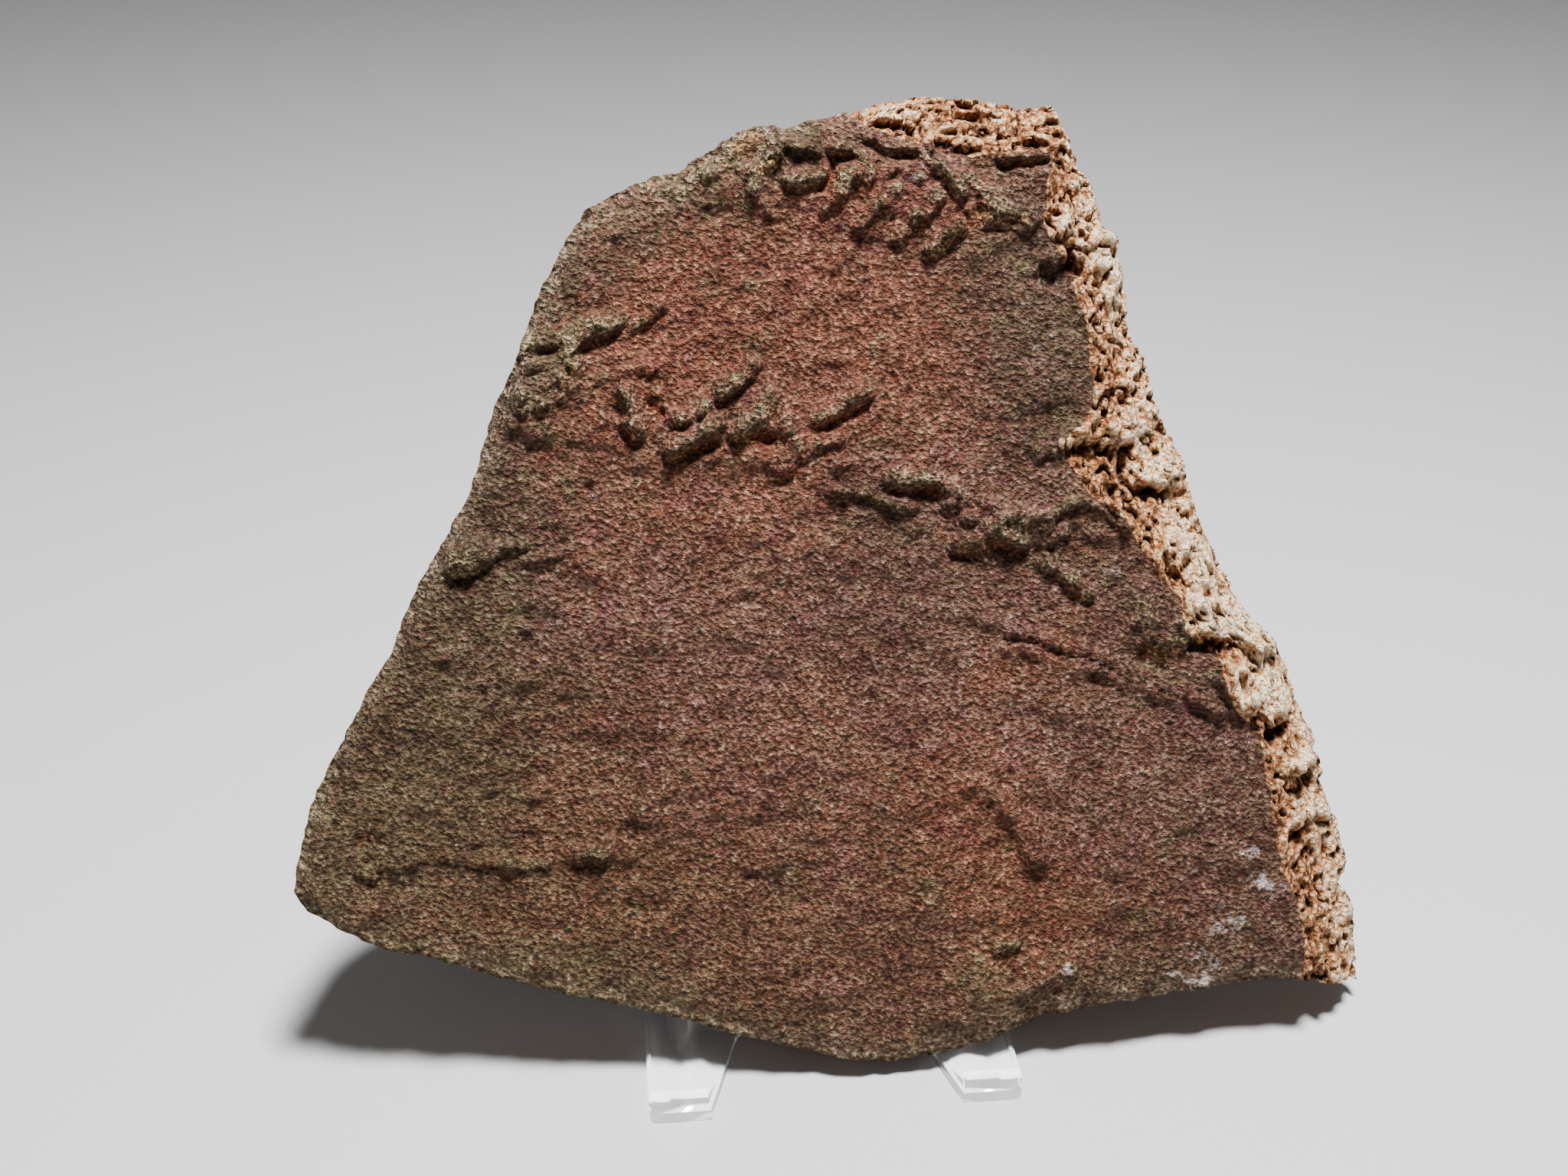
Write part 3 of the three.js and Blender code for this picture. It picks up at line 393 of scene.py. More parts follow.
def mottled(start, u, v, *layers):
    """The start with mottles added to it, each as (height, size, seed)."""
    for height, size, seed in layers:
        start = start + height * mottle(u, v, size, seed)
    return start


def crumbs(u, v, size, seed, spread=0.6):
    """Heights from 0 to 1 of rounded crumbs about one size across. With more spread they leave fewer gaps."""
    jitter = np.random.default_rng(seed).uniform(0, 1, (3, REPEAT, REPEAT))
    a, b = u / size, v / size
    column, row = np.floor(a).astype(int), np.floor(b).astype(int)
    height = np.zeros_like(a)
    for i in (-1, 0, 1):
        for j in (-1, 0, 1):
            cell = (column + i) % REPEAT, (row + j) % REPEAT
            across = a - column - i - jitter[0][cell]
            upward = b - row - j - jitter[1][cell]
            reach = spread + (1 - spread) * jitter[2][cell]
            dome = np.sqrt(np.clip(1 - (across ** 2 + upward ** 2) / reach ** 2, 0, 1))
            height = np.maximum(height, dome * (0.45 + 0.55 * jitter[2][cell]))
    return height


def marks(features, u, v, lean=0.35):
    """Height of the marks at each place, melted into each other. With lean, a mark has a long ramp above it
    and a steep drop below it."""
    total = np.zeros_like(u)
    for half, high, *line in features:
        best = np.zeros_like(u)
        for (u0, v0), (u1, v1) in zip(line, line[1:]):
            du, dv = u1 - u0, v1 - v0
            share = np.clip(((u - u0) * du + (v - v0) * dv) / (du * du + dv * dv), 0, 1)
            across, above = u - u0 - share * du, v - v0 - share * dv + lean * half
            distance = np.hypot(across, above)
            side = lean * above / np.maximum(distance, 0.001)
            reach = 1.4 * half * np.exp(side)
            dome = (1 - np.clip(distance / reach, 0, 1) ** 2) ** (1.4 + 1.8 * side)
            best = np.maximum(best, high * dome)
        total += best ** 3
    return np.cbrt(total)


def beds(share, count):
    """The break falls in steps, because the stone parts along its thin beds."""
    tread = np.floor(share * count)
    return (tread + smooth_step(share * count - tread, 0.25, 0.95)) / count


def face_relief(u, v):
    """The height w of the slab's front, and what its stone is like there.

    Heights, bump sizes and widths are in millimetres, and each layer has its own seed.
    """
    warp_u = mottled(u, u, v, (0.35, 2.1, 1), (0.15, 0.9, 2))
    warp_v = mottled(v, u, v, (0.35, 2.1, 3), (0.15, 0.9, 4))
    wander = mottled(0, u, v, (0.5, 2.6, 5), (0.3, 1.1, 6))

    # the fresh break, which falls away behind the old face
    inner, outer = value_at(BREAK_RIGHT, v + wander) + wander, value_at(RIGHT_EDGE, v, True)
    lower, upper = value_at(BREAK_TOP, u) + wander, value_at(TOP_EDGE, u)
    right = np.clip((u - inner) / np.maximum(outer - inner, 0.5), 0, 1)
    top = np.clip((v - lower) / np.maximum(upper - lower, 0.5), 0, 1)
    inside = np.maximum(u - inner, v - lower)
    broken = smooth_step(inside, -0.2, 0.7)
    kept = 1 - broken
    fall = np.maximum(RIGHT_FALL * beds(right, RIGHT_BEDS), TOP_FALL * beds(top, TOP_BEDS))

    # the old face's broad shape, with its rolled rim and its bevel at the upper left
    from_left = u - value_at(LEFT_EDGE, v, True)
    from_bottom = v - value_at(BOTTOM_EDGE, u)
    from_top = value_at(TOP_EDGE, u) - v
    rim = np.minimum(np.minimum(from_left, from_bottom), from_top)
    sway = 0.35 * np.sin(u / 11 + v / 17) + 0.25 * np.sin(v / 9 - u / 23)
    roll = -RIM_DROP * (1 - smooth_step(rim, 0, RIM_WIDTH)) * (1 - top)
    roll = roll * np.where(from_bottom < from_left, 0.55, 1)
    bevel = np.where(u < -4, -BEVEL_DROP * (1 - smooth_step(from_top, 0, BEVEL_WIDTH)), 0)

    # the tracks, the hollows round them, and the swells and ripples that carry them
    uneven = mottled(1, u, v, (0.4, 1.6, 13), (0.2, 0.8, 14))
    raised = CAST_HEIGHT * marks(CASTS, warp_u, warp_v) * uneven
    sunk = HOLLOW_DEPTH * marks(HOLLOWS, warp_u, warp_v, -0.3) * uneven
    churned = mottled(0, u, v * 1.2, (0.7, 2.3, 35), (0.35, 1.2, 36))
    swell = marks(SWELLS, warp_u, warp_v) * kept * (1 + 0.35 * churned)
    ripple = marks(RIPPLES, u + 0.35 * wander, v + 0.35 * wander, 0.15)
    ripple = ripple * mottled(1, u, v, (0.2, 3, 37)) * kept

    # the sandy surface: streaks along the current, grain, and rougher sand on the casts
    along, aside = u * 0.94 - v * 0.34, u * 0.34 + v * 0.94
    streaks = 0.12 * mottle(along / 4, aside, 2.6, 15) + 0.1 * mottle(along / 3, aside, 1.3, 16)
    grain = 0.24 * mottle(u, v * 1.5, 1.3, 9) + 0.4 * mottle(u, v, 4.3, 10)
    grain = grain + 0.09 * mottle(u, v * 1.3, 0.6, 11) + 0.34 * mottle(u, v * 1.6, 2.7, 18)
    rough = 0.35 * crumbs(u, v, 1.35, 12) + 0.35 * crumbs(u, v, 0.8, 17) - 0.35
    rough = rough * smooth_step(raised, 0.15, 0.8)
    old_face = kept * (grain + rough + streaks)

    # the crumbling surface of the break: ledges and lobes, pits, lumps, grit and crevices
    patchy = mottled(1, u, v, (0.7, 2.1, 38))
    lobes = marks(LOBES, warp_u, warp_v, 0.4) * (0.6 + 0.4 * patchy)
    pits = marks(PITS, warp_u, warp_v, 0.1) * patchy
    bent_u = mottled(u, u, v, (0.6, 1.2, 20)) + 0.3 * wander
    bent_v = mottled(v, u, v, (0.6, 1.2, 28)) + 0.3 * wander
    lumps = 0.6 * crumbs(bent_u, bent_v * 1.2, 4.2, 7, 0.9) + 0.5 * crumbs(bent_u, bent_v * 1.3, 2.1, 29, 0.9)
    grit = crumbs(bent_u, bent_v * 1.2, 1.05, 8, 0.9)
    crevices = 1 - smooth_step(np.abs(mottle(u, v * 1.4, 1.7, 19)), 0, 0.2)
    at_top = top > 0
    crust = 3.5 * lumps + (1.3 + 0.8 * at_top) * grit - 1.5 * crevices - 3.0 - 0.4 * at_top
    crust = crust * smooth_step(inside, 0, 1.2)

    w = sway + roll + bevel - fall + swell + ripple + raised - sunk + lobes - pits + broken * crust + old_face

    # what the stone's material reads: the casts are greenish but for their steep undersides
    # the crest trait, which colours the break, is partly painted light and shade: lighter on lumps, grit and
    # lobes as a painted highlight, darker in crevices and pits as painted shade, and lighter towards the
    # outer parts of the break
    outward = 0.3 * smooth_step(right, 0.25, 0.8) + 0.08 * smooth_step(top, 0.3, 0.9) - 0.05
    crest = 0.5 * lumps + 0.3 * grit + 0.15 * lobes - 0.2 * pits - 0.35 * crevices + outward
    slope = np.gradient(raised, axis=0) / np.gradient(v, axis=0)
    filmed = smooth_step(raised * mottled(1, u, v, (0.5, 2.2, 39)), 0.5, 1.5) * smooth_step(slope, -1.2, -0.4)
    # the stone is made lighter within a few millimetres of the old face's rim, over a wider band along the
    # bevel at the upper left
    from_pale_rim = np.minimum(rim, np.where(u < -4, 0.45, 1) * from_top) + wander
    return w, {
        "broken": broken,
        "crest": np.clip(crest, 0, 1),
        "raised": filmed * kept,
        # sunk carries the painted shade of the hollows
        "sunk": smooth_step(sunk, 0.15, 0.9),
        "worn": (1 - smooth_step(from_pale_rim, 0.3, 3.6)) * kept,
    }


# Where the face is bleached, greyer, redder or more ochre: (radius, strength, point, point, ...).
BLEACHED = [
    (1.4, 0.8, (54, 23.8), (56, 23)), (2.0, 0.8, (56.5, 19), (58.8, 17.5)),
    (1.6, 0.7, (51.5, 15.8), (53.5, 14.6)), (1.4, 0.8, (50.2, 13.2), (52.5, 12.6)),
    (1.8, 0.7, (46.5, 10.5), (49.5, 8.8)), (1.1, 0.8, (43.2, 8), (44.6, 7.5)),
    (1.2, 0.9, (46.4, 6.4), (48.8, 6.2)), (0.9, 1.6, (30, 9.3), (30.1, 9.3)),
    (0.6, 0.9, (50.6, 23.5), (50.9, 23.5)), (0.5, 0.9, (16, 29.8), (16.2, 29.8)),
    (0.5, 0.8, (31, 36.3), (31.2, 36.3)), (0.6, 0.6, (11.8, 58.5), (12, 58.5)),
    (0.9, 0.6, (-28.8, 73.4), (-28.2, 73.4)), (1.2, 0.5, (-23.3, 84.4), (-22.8, 82)),
    (1.2, 0.5, (-17.6, 79.6), (-14.4, 81.2)), (1.1, 0.4, (-16.6, 82.9), (-15, 84.2)),
    (1.3, 0.5, (-8.8, 82.6), (-6.8, 84.4)), (1.0, 0.4, (-3.2, 81.4), (-2.6, 79.8)),
    (0.9, 0.4, (-29.4, 93.2), (-26, 95.2)), (1.0, 0.3, (1.6, 83.2), (5.6, 85)),
    (1.1, 0.4, (24.4, 107.6), (26.8, 107.6)), (1.2, 0.6, (6.5, 64.3), (9.4, 64.8)),
    (0.8, 0.6, (-2, 63.1), (-1.2, 62.8)), (0.9, 0.5, (0.4, 61), (4, 61)),
    (1.0, 0.5, (-32.5, 95.7), (-31.5, 95.9)), (0.8, 0.8, (13.4, 111.4), (14.4, 111.8)),
    (1.2, 0.6, (35.5, 61.6), (38, 61.4)),
]
GREYED = [
    (14, 1.0, (-44, 72), (-56, 36)), (11, 0.8, (26, 99), (31, 84)), (8, 0.3, (52, 43), (55, 22)),
    (3.5, 0.7, (5, 69.5), (11, 68.5)), (6, 0.7, (33, 67), (37, 62)), (5, 0.5, (41, 56), (44, 52)),
    (10, 0.5, (-40, 80), (-34, 96)), (9, 0.3, (8, 60), (18, 62)), (3, 0.5, (28, 72), (33, 71)),
]
REDDENED = [
    (17, 0.7, (-14, 101), (8, 93)), (9, 0.8, (-26, 91), (-14, 90)), (13, 0.5, (-28, 74), (-6, 72)),
    (11, 0.6, (17, 31), (26, 20)), (14, 0.3, (-5, 38), (14, 32)), (4, 0.6, (-33, 82), (-25, 81)),
    (4, 0.6, (-8, 80), (6, 80)), (4, 0.5, (22, 46), (32, 52)), (5, 0.7, (0, 111), (19, 108)),
]
OCHRE = [
    (24, 0.7, (-52, 30), (-30, 18)), (16, 0.5, (-20, 16), (14, 14)), (10, 0.4, (20, 10), (38, 14)),
]


def stained(u, v, traits):
    """The traits, with how bleached, grey, red or ochre the stone is at each place of the face."""
    warp_u = mottled(u, u, v, (2.5, 7, 21), (0.6, 1.4, 22))
    warp_v = mottled(v, u, v, (2.5, 7, 23), (0.6, 1.4, 24))
    speckled = mottled(0.75, u, v * 1.4, (0.5, 0.9, 25))
    fine_u = mottled(u, u, v, (0.5, 0.9, 26))
    fine_v = mottled(v, u, v, (0.5, 0.9, 27))
    from_left = warp_u - value_at(LEFT_EDGE, warp_v, True)
    from_bottom = warp_v - value_at(BOTTOM_EDGE, warp_u)
    from_top = np.where(u < 2, value_at(TOP_EDGE, warp_u) - warp_v, 50)
    margin = np.maximum(1 - smooth_step(from_left, 1, 17), 0.8 * (1 - smooth_step(from_bottom, 0, 11)))
    margin = np.maximum(margin, 1 - smooth_step(from_top, 2, 13))
    greyed = np.maximum(margin, marks(GREYED, warp_u, warp_v, 0))
    return traits | {
        "bleached": np.clip(marks(BLEACHED, fine_u, fine_v, 0) * speckled, 0, 1),
        "greyed": np.clip(greyed * speckled, 0, 1),
        "reddened": np.clip(marks(REDDENED, warp_u, warp_v, 0), 0, 1),
        "ochre": np.clip(marks(OCHRE, warp_u, warp_v, 0), 0, 1),
    }


# ---------------------------------------------------------------- the slab's mesh
# The slab is one closed skin of stone: the fine face, ragged side walls where the thin beds show as ledges,
# and the plainer back. Its columns and rows are closer together in the upper right, where the break is.

THICKNESS = 13
COLUMN_SPANS = (0.8, 192), (1, 108)
ROW_SPANS = (0.48, 84), (0.9, 106), (1, 42)
WALL_RINGS = 11
BACK_COLUMNS, BACK_ROWS = 81, 66
BACK_LEFT_INSET, BACK_RIGHT_INSET, BACK_TOP_INSET = 2, 1, 1.5
BACK_FOOT = 4.6
RAGGED_WIDTH = 2


def shares(*spans):
    """Rising shares from 0 to 1, as spans of (end, count)."""
    steps = [0.0]
    for end, count in spans:
        steps.extend(np.linspace(steps[-1], end, count + 1)[1:])
    return np.array(steps)


def rim_of(cells):
    """The four sides round a grid, anticlockwise from its first corner, each without its last place."""
    return [cells[0, :-1], cells[:-1, -1], cells[-1, :0:-1], cells[:0:-1, 0]]


def pave(cells, turned=False):
    """Two triangles for each square of a grid."""
    a, b, c, d = (part.ravel() for part in (cells[:-1, :-1], cells[:-1, 1:], cells[1:, 1:], cells[1:, :-1]))
    if turned:
        b, d = d, b
    return np.concatenate([np.stack([a, b, c], -1), np.stack([a, c, d], -1)]).tolist()


def stitch(outer, inner):
    """Triangles between two rims, side by side, also where they have different numbers of places."""
    faces = []
    for side in range(4):
        near = [*outer[side], outer[(side + 1) % 4][0]]
        far = [*inner[side], inner[(side + 1) % 4][0]]
        i = j = 0
        while i + 1 < len(near) or j + 1 < len(far):
            if (i + 1) / (len(near) - 1) <= (j + 1) / (len(far) - 1):
                faces.append((near[i], far[j], near[i + 1]))
                i += 1
            else:
                faces.append((near[i], far[j], far[j + 1]))
                j += 1
    return faces


def back_relief(s, t):
    """Places on the slab's back, which is a little smaller, because its broken edges are rubbed back."""
    u, v = np.moveaxis(patch_at(s, t), -1, 0)
    lift = np.maximum(BACK_FOOT - value_at(BOTTOM_EDGE, u), -1.2)
    middle = np.sin(np.pi * s) * np.sin(np.pi * t)
    flakes = smooth_step(mottled(0, u, v, (1, 17, 31), (0.35, 4, 32)), 0.05, 0.16)
    dimples = 0.3 * (1 + mottle(u, v, 2.3, 33)) * 0.5 + 0.12 * (1 + mottle(u, v, 0.9, 34))
    wave = 0.35 * middle * (1 + np.sin(u / 7) * np.cos(v / 9))
    wave = wave + np.minimum(3 * middle, 1) * (0.5 * flakes + dimples)
    back_u = u + BACK_LEFT_INSET * (1 - s) - BACK_RIGHT_INSET * s
    return back_u, v + lift * (1 - t) - BACK_TOP_INSET * t, wave - THICKNESS


s, t = np.meshgrid(shares(*COLUMN_SPANS), shares(*ROW_SPANS))
u, v = np.moveaxis(patch_at(s, t), -1, 0)
to_edge = np.minimum(
    np.minimum(u - value_at(LEFT_EDGE, v, True), value_at(RIGHT_EDGE, v, True) - u),
    np.minimum(v - value_at(BOTTOM_EDGE, u), value_at(TOP_EDGE, u) - v),
)
ragged = 1 - smooth_step(to_edge, 0, RAGGED_WIDTH)
u, v = (
    u + ragged * mottled(0, u, v, (0.22, 3.1, 61), (0.16, 0.8, 62)),
    v + ragged * mottled(0, u, v, (0.22, 3.1, 63), (0.16, 0.8, 64)),
)
w, traits = face_relief(u, v)
traits = stained(u, v, traits)
face_cells = np.arange(u.size).reshape(u.shape)
skin_places = [np.stack([u, v, w], -1).reshape(-1, 3)]
skin_traits = {name: [values.ravel()] for name, values in traits.items()}
skin_faces = pave(face_cells)

# The rim of the face, and the place on the back's rim behind each of its places.
rim = rim_of(face_cells)
loop = np.concatenate(rim)
rim_front = skin_places[0][loop]
rim_s, rim_t = s.ravel()[loop], t.ravel()[loop]
rim_back = np.stack(back_relief(rim_s, rim_t), -1)
along_rim = np.concatenate([[0], np.cumsum(np.hypot(*np.diff(rim_front[:, :2], axis=0).T))])
rim_broken = skin_traits["broken"][0][loop]
inward = np.stack([1 - 2 * rim_s, 1 - 2 * rim_t], -1)
inward /= np.linalg.norm(inward, axis=1)[:, None]
previous, placed = rim, u.size
sides = np.cumsum([len(side) for side in rim])[:-1]
for ring in range(1, WALL_RINGS):
    q = ring / WALL_RINGS
    slide = q * q
    depth = rim_front[:, 2] * (1 - q) + rim_back[:, 2] * q
    ledge = 0.45 * (1 + mottle(along_rim, depth * 5, 6, 41))
    ledge = ledge + 0.25 * (1 + mottle(along_rim, depth * 2, 2, 42))
    nubs = crumbs(along_rim, depth * 1.7, 1.7, 43)
    bite = (ledge + 0.5 * (1 - nubs)) * math.sin(math.pi * q) ** 0.6
    wall = rim_front[:, :2] * (1 - slide) + rim_back[:, :2] * slide + inward * bite[:, None]
    skin_places.append(np.concatenate([wall, depth[:, None]], 1))
    ring_traits = {
        "broken": np.maximum(rim_broken, 0.55 * smooth_step(q, 0, 0.2)),
        # on the walls the crest trait is a painted highlight on the nubs and painted shade where the ledges
        # bite in
        "crest": 0.25 + 0.5 * nubs - 0.2 * ledge,
    }
    for name, values in skin_traits.items():
        values.append(np.clip(ring_traits.get(name, values[0][loop] * (1 - q)), 0, 1))
    cells = np.split(np.arange(placed, placed + len(loop)), sides)
    skin_faces += stitch(previous, cells)
    previous, placed = cells, placed + len(loop)

back_s, back_t = np.meshgrid(np.linspace(0, 1, BACK_COLUMNS), np.linspace(0, 1, BACK_ROWS))
back_u, back_v, back_w = back_relief(back_s, back_t)
back_cells = np.arange(placed, placed + back_s.size).reshape(back_s.shape)
skin_places.append(np.stack([back_u, back_v, back_w], -1).reshape(-1, 3))
back_traits = {
    "broken": mottled(0.25, back_u, back_v, (0.2, 9, 51)),
    "crest": mottled(0.4, back_u, back_v, (0.3, 2.3, 33)),
    "greyed": mottled(0.4, back_u, back_v, (0.4, 14, 52)),
}
for name, values in skin_traits.items():
    values.append(np.clip(back_traits.get(name, np.zeros_like(back_s)), 0, 1).ravel())
skin_faces += stitch(previous, rim_of(back_cells)) + pave(back_cells, turned=True)

slab_mesh = bpy.data.meshes.new("trackway_stone")
slab_mesh.from_pydata(on_slab(*np.concatenate(skin_places).T).tolist(), [], skin_faces)
for name, values in skin_traits.items():
    slab_mesh.attributes.new(name, "FLOAT", "POINT").data.foreach_set("value", np.concatenate(values))
slab_mesh.shade_smooth()
slab = bpy.data.objects.new("trackway_stone", slab_mesh)
bpy.context.scene.collection.objects.link(slab)
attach(slab, "root")
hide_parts("trackway_slab")

# ---------------------------------------------------------------- the sandstone
# Fine, even sand with a film of iron: pinkish tan grains with dark gaps between them, redder and greyer by
# turns. The casts wear a green film. The fresh break is paler stone, cream where it stands out and orange
# where it sinks in; the cream is partly a painted highlight, and its crevices are darkened as painted shade.

STONE_ROUGHNESS = 0.93
STONE_GLOSS = 0.2
# Colours from the gaps between the grains up to their tops, as (tone, (red, green, blue)).
RED_FILM = [(0.36, (38, 14, 5)), (0.47, (70, 42, 32)), (0.58, (108, 82, 71)), (0.71, (188, 159, 147))]
OLIVE_FILM = [(0.36, (28, 17, 6)), (0.47, (58, 44, 26)), (0.59, (92, 80, 56)), (0.72, (162, 148, 116))]
FRESH_BREAK = [(0.32, (54, 30, 15)), (0.47, (146, 90, 52)), (0.62, (196, 146, 100)), (0.82, (238, 216, 180))]
# Stains over the red film, and the painted shade of the hollows, each of which multiplies its colour.
TAN_FLECK, GREEN_FLECK, MAUVE, RUST = (255, 236, 214), (232, 238, 214), (240, 216, 255), (255, 218, 196)
OCHRE_STAIN, GREY_STAIN, HOLLOW_SHADE = (242, 217, 176), (149, 155, 162), (255, 200, 150)
BLEACHED_STONE = (206, 192, 186)


class Wire:
    """A socket of a node tree. Arithmetic on it adds Math nodes, and make() adds any other node."""

    def __init__(self, tree, socket=None):
        self.tree = tree
        self.socket = socket

    def make(self, kind, settings=None, inputs=None, output=0):
        """A new node of this kind, with its settings first and then its inputs. Gives one of its outputs."""
        node = self.tree.nodes.new(kind)
        for name, value in (settings or {}).items():
            if name == "stops":
                elements = node.color_ramp.elements
                while len(elements) < len(value):
                    elements.new(0.5)
                for element, (at, colour) in zip(elements, value):
                    element.position, element.color = at, colour
            else:
                setattr(node, name, value)
        for name, value in (inputs or {}).items():
            if isinstance(value, Wire):
                self.tree.links.new(value.socket, node.inputs[name])
            else:
                node.inputs[name].default_value = value
        return Wire(self.tree, node.outputs[output])

    def maths(self, operation, *values):
        """A Math node on these values."""
        return self.make("ShaderNodeMath", {"operation": operation}, dict(enumerate(values)))

    def __add__(self, other):
        return self.maths("ADD", self, other)

    def __radd__(self, other):
        return self.maths("ADD", other, self)

    def __sub__(self, other):
        return self.maths("SUBTRACT", self, other)

    def __rsub__(self, other):
        return self.maths("SUBTRACT", other, self)

    def __mul__(self, other):
        return self.maths("MULTIPLY", self, other)

    def __rmul__(self, other):
        return self.maths("MULTIPLY", other, self)

    def between(self, low, high):
        """0 below low, 1 above high and a smooth rise between."""
        settings = {"interpolation_type": "SMOOTHSTEP"}
        return self.make("ShaderNodeMapRange", settings, {"Value": self, "From Min": low, "From Max": high})

    def blend(self, first, second, how="MIX"):
        """A colour from first to second, with this socket as the factor."""
        settings = {"data_type": "RGBA", "blend_type": how}
        return self.make("ShaderNodeMix", settings, {0: self, 6: first, 7: second}, 2)


def tint(red, green, blue):
    """A colour given in the usual 0 to 255, as the shader's linear values, by the sRGB curve."""
    linear = (
        ((part / 255 + 0.055) / 1.055) ** 2.4 if part > 10 else part / 3295 for part in (red, green, blue)
    )
    return (*linear, 1)


def new_material(name):
    """A material with only its Principled shader, and the Wire that starts its nodes."""
    material = bpy.data.materials.new(name)
    material.use_nodes = True
    tree = material.node_tree
    tree.nodes.clear()
    shader = tree.nodes.new("ShaderNodeBsdfPrincipled")
    surface = tree.nodes.new("ShaderNodeOutputMaterial")
    tree.links.new(shader.outputs[0], surface.inputs["Surface"])
    return material, shader, Wire(tree)


sandstone, stone_shader, stone = new_material("sandstone")
stone_shader.inputs["Roughness"].default_value = STONE_ROUGHNESS
stone_shader.inputs["Specular IOR Level"].default_value = STONE_GLOSS

# Patterns read places on the slab in millimetres. They are turned and stretched, so that no two line up.
trait = {
    name: stone.make("ShaderNodeAttribute", {"attribute_name": name}, output="Fac") for name in skin_traits
}
on_piece = stone.make("ShaderNodeTexCoord", output="Object")
on_face = stone.make("ShaderNodeMapping", inputs={
    "Vector": on_piece, "Rotation": (LEAN - math.pi / 2, 0, 0), "Scale": (1 / MM, 1 / MM, 1 / MM),
})
askew = stone.make("ShaderNodeMapping", inputs={"Vector": on_face, "Rotation": (0.5, 0.8, 0.3)})
turned = stone.make("ShaderNodeVectorRotate", {"rotation_type": "Z_AXIS"}, {"Vector": on_face, "Angle": 0.25})
streaked = stone.make("ShaderNodeMapping", inputs={
    "Vector": turned, "Rotation": (0.7, 0.5, 0.4), "Scale": (0.9, 1.12, 1),
})


def noise(at, scale, detail, roughness):
    """Cloudy noise with about this many bumps to a millimetre."""
    return stone.make("ShaderNodeTexNoise", inputs={
        "Vector": at, "Scale": scale, "Detail": detail, "Roughness": roughness,
    })


def grain_cells(at, scale):
    """The distance from the middle of the nearest of this many grains to a millimetre."""
    return stone.make("ShaderNodeTexVoronoi", inputs={"Vector": at, "Scale": scale}, output="Distance")


def ramp(tone, colours):
    """A colour that runs through these colours as the tone rises."""
    stops = [(at, tint(*colour)) for at, colour in colours]
    return tone.make("ShaderNodeValToRGB", {"stops": stops}, {"Fac": tone})


grains = noise(streaked, 1.9, 2.5, 0.6)
sand = grain_cells(streaked, 1.7)
clumps = noise(streaked, 0.62, 3, 0.6)
patches = noise(askew, 0.1, 3, 0.55)
mauve = noise(askew, 0.17, 3, 0.6)
hues = noise(askew, 0.8, 3, 0.6)
flecks = noise(askew, 1.2, 3, 0.6)
grit = noise(askew, 1.4, 4, 0.7)
crumb = grain_cells(askew, 1.1)

# how light each grain is, and the two films it may wear
toned = (0.52 + 0.35 * trait["raised"]) * grains + 0.2 * clumps + 0.12 * patches + 0.19
toned = toned - 0.12 * sand - 0.1 * crumb
# lighter along the rim of the old face
toned = toned + 0.08 * trait["worn"] + 0.03 * trait["reddened"]
# the film darkens the casts; the hollows are lightened a little, as painted light
toned = toned - 0.14 * trait["raised"] + 0.03 * trait["sunk"]
warmth = trait["reddened"] + 0.6 * patches + 0.5 * hues - 0.5
face_colour = ramp(toned, RED_FILM)
for stain, colour in [
    (flecks.between(0.5, 0.6), TAN_FLECK),
    (flecks.between(0.49, 0.4), GREEN_FLECK),
    (0.6 * mauve.between(0.5, 0.66), MAUVE),
    (warmth.between(0, 0.9), RUST),
    (0.9 * trait["ochre"], OCHRE_STAIN),
    (0.9 * trait["greyed"], GREY_STAIN),
]:
    face_colour = stain.blend(face_colour, tint(*colour), "MULTIPLY")
filmed = 0.35 * mauve.between(0.46, 0.3) + 0.5 * trait["greyed"] + 0.4 * trait["ochre"]
filmed = filmed + 0.9 * trait["raised"] * grit.between(0.36, 0.56) + 0.3 * hues.between(0.52, 0.4)
face_colour = filmed.between(0, 1).blend(face_colour, ramp(toned, OLIVE_FILM))
# painted shade in the hollows: they are darkened and turned orange
face_colour = (0.7 * trait["sunk"]).blend(face_colour, tint(*HOLLOW_SHADE), "MULTIPLY")
bleached = (trait["bleached"] + 1.3 * grit - 0.95).between(0.1, 0.9)
face_colour = (0.8 * bleached).blend(face_colour, tint(*BLEACHED_STONE))

# the fresh break, and where it opens; its tone follows the crest trait, with its painted highlights and shade
crust_tone = 0.55 * trait["crest"] + 0.8 * grit + 0.11 - 0.5 * crumb
opened = (trait["broken"] + 0.5 * grit - 0.25).between(0.3, 0.75)
stone_colour = opened.blend(face_colour, ramp(crust_tone, FRESH_BREAK))

height = (1.25 + 0.2 * trait["raised"]) * grains - 0.4 * sand - 0.5 * crumb + 0.8 * clumps
height = height + opened * (1.2 * grit - 0.6 * crumb)
bump = height.make("ShaderNodeBump", inputs={"Height": height, "Distance": MM, "Strength": 1.0})
stone.tree.links.new(stone_colour.socket, stone_shader.inputs["Base Color"])
stone.tree.links.new(bump.socket, stone_shader.inputs["Normal"])
slab_mesh.materials.append(sandstone)

# ---------------------------------------------------------------- the easel
# One clear acrylic moulding with thin walls: two arms with raised ribs, front lips that hold the slab's
# foot, a bridge, and two leaning sides. It stands as the solids have it, with its edges rounded.

EDGE_RADIUS = 0.00025
WELD, FLAT, CREASE, SHARP = 1e-5, math.radians(1), math.radians(28), math.radians(35)
ACRYLIC = {"Base Color": (0.97, 0.985, 1, 1), "Roughness": 0.03, "IOR": 1.49, "Transmission Weight": 1}

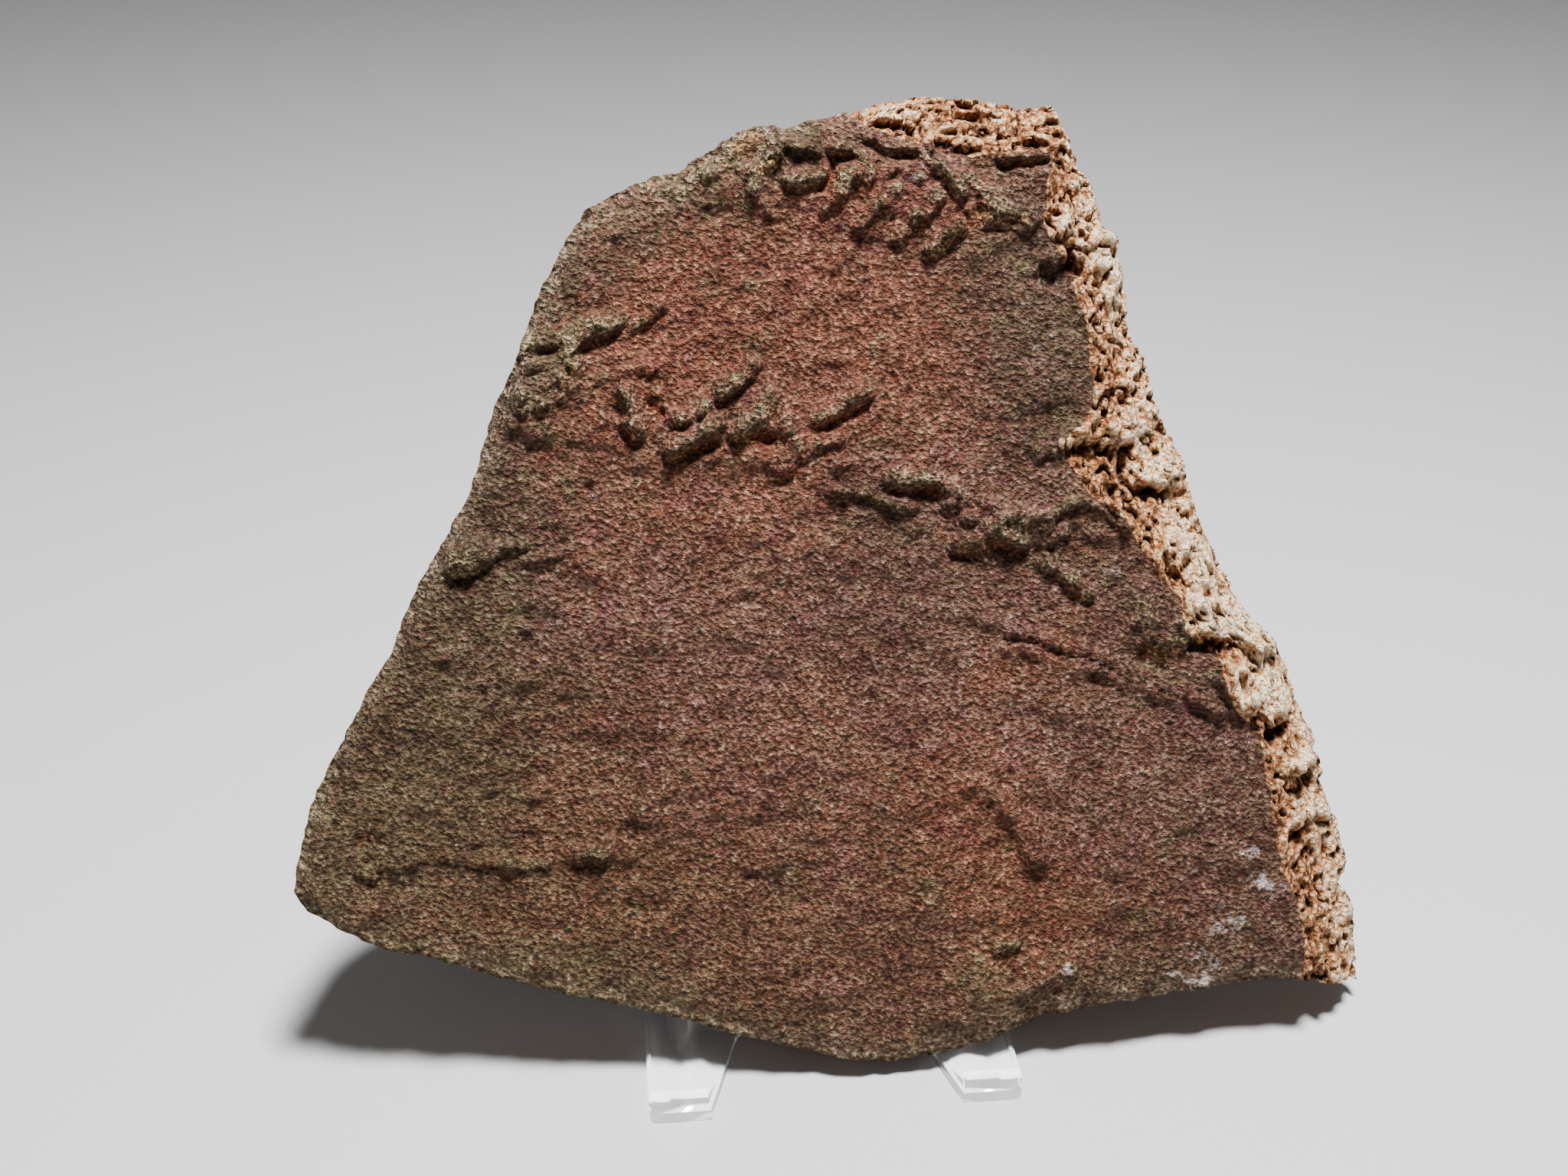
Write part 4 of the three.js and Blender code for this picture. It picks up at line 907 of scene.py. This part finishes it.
easel_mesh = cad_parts["easel"].data.copy()
easel_mesh.name = "clear_easel"
easel_mesh.materials.clear()
form = bmesh.new()
form.from_mesh(easel_mesh)
bmesh.ops.remove_doubles(form, verts=form.verts, dist=WELD)
bmesh.ops.dissolve_limit(form, angle_limit=FLAT, verts=form.verts, edges=form.edges)
creases = [edge for edge in form.edges if edge.is_manifold and edge.calc_face_angle() > CREASE]
bmesh.ops.bevel(form, geom=creases, offset=EDGE_RADIUS, segments=2, affect="EDGES", clamp_overlap=True)
form.to_mesh(easel_mesh)
form.free()
easel_mesh.shade_smooth()
easel_mesh.set_sharp_from_angle(angle=SHARP)
easel = bpy.data.objects.new("clear_easel", easel_mesh)
bpy.context.scene.collection.objects.link(easel)
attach(easel, "root")
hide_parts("easel")

clear_acrylic, acrylic_shader, acrylic = new_material("clear_acrylic")
for socket, value in ACRYLIC.items():
    acrylic_shader.inputs[socket].default_value = value

# Light passes straight through to the floor, which keeps the moulding's shadow as weak as a real one's.
moulding = Wire(acrylic.tree, acrylic_shader.outputs[0])
see_through = acrylic.make("ShaderNodeBsdfTransparent")
shadow_ray = acrylic.make("ShaderNodeLightPath", output="Is Shadow Ray")
lit = acrylic.make("ShaderNodeMixShader", inputs={0: 0.2 + 0.8 * shadow_ray, 1: moulding, 2: see_through})
acrylic.tree.links.new(lit.socket, acrylic.tree.nodes["Material Output"].inputs["Surface"])
easel_mesh.materials.append(clear_acrylic)

# ---------------------------------------------------------------- the floor and the lights
# A plain pale floor of matt board. A soft box overhead rakes down the leaning face, a weak one fills in from
# the front, and an even sky lightens the shadows.

FLOOR_SIZE, FLOOR_GAP = 6, 0.00003
FLOOR_GREY, FLOOR_ROUGHNESS = (0.42, 0.42, 0.42, 1), 0.6
SKY_COLOUR, SKY_STRENGTH = (1, 0.98, 0.96, 1), 0.16
FACE_MIDDLE = (5, 62, 0)

bpy.ops.mesh.primitive_plane_add(size=FLOOR_SIZE, location=(0, 0, -FLOOR_GAP))
floor = bpy.context.object
floor.name = "floor"
pale, pale_shader, _ = new_material("pale_floor")
pale_shader.inputs["Base Color"].default_value = FLOOR_GREY
pale_shader.inputs["Roughness"].default_value = FLOOR_ROUGHNESS
floor.data.materials.append(pale)


def soft_box(name, offset, size, power):
    """A square light at an offset from the middle of the slab's face, turned towards it."""
    data = bpy.data.lights.new(name, "AREA")
    data.size, data.energy = size, power
    light = bpy.data.objects.new(name, data)
    light.location = Vector(on_slab(*FACE_MIDDLE)) + Vector(offset)
    light.rotation_euler = Vector(offset).to_track_quat("Z", "Y").to_euler()
    bpy.context.scene.collection.objects.link(light)


soft_box("overhead", offset=(0.04, -0.07, 0.5), size=0.11, power=14)
soft_box("front", offset=(-0.5, -0.8, 0.5), size=0.7, power=1)
sky = bpy.data.worlds.new("sky")
sky.use_nodes = True
sky.node_tree.nodes["Background"].inputs["Color"].default_value = SKY_COLOUR
sky.node_tree.nodes["Background"].inputs["Strength"].default_value = SKY_STRENGTH
bpy.context.scene.world = sky
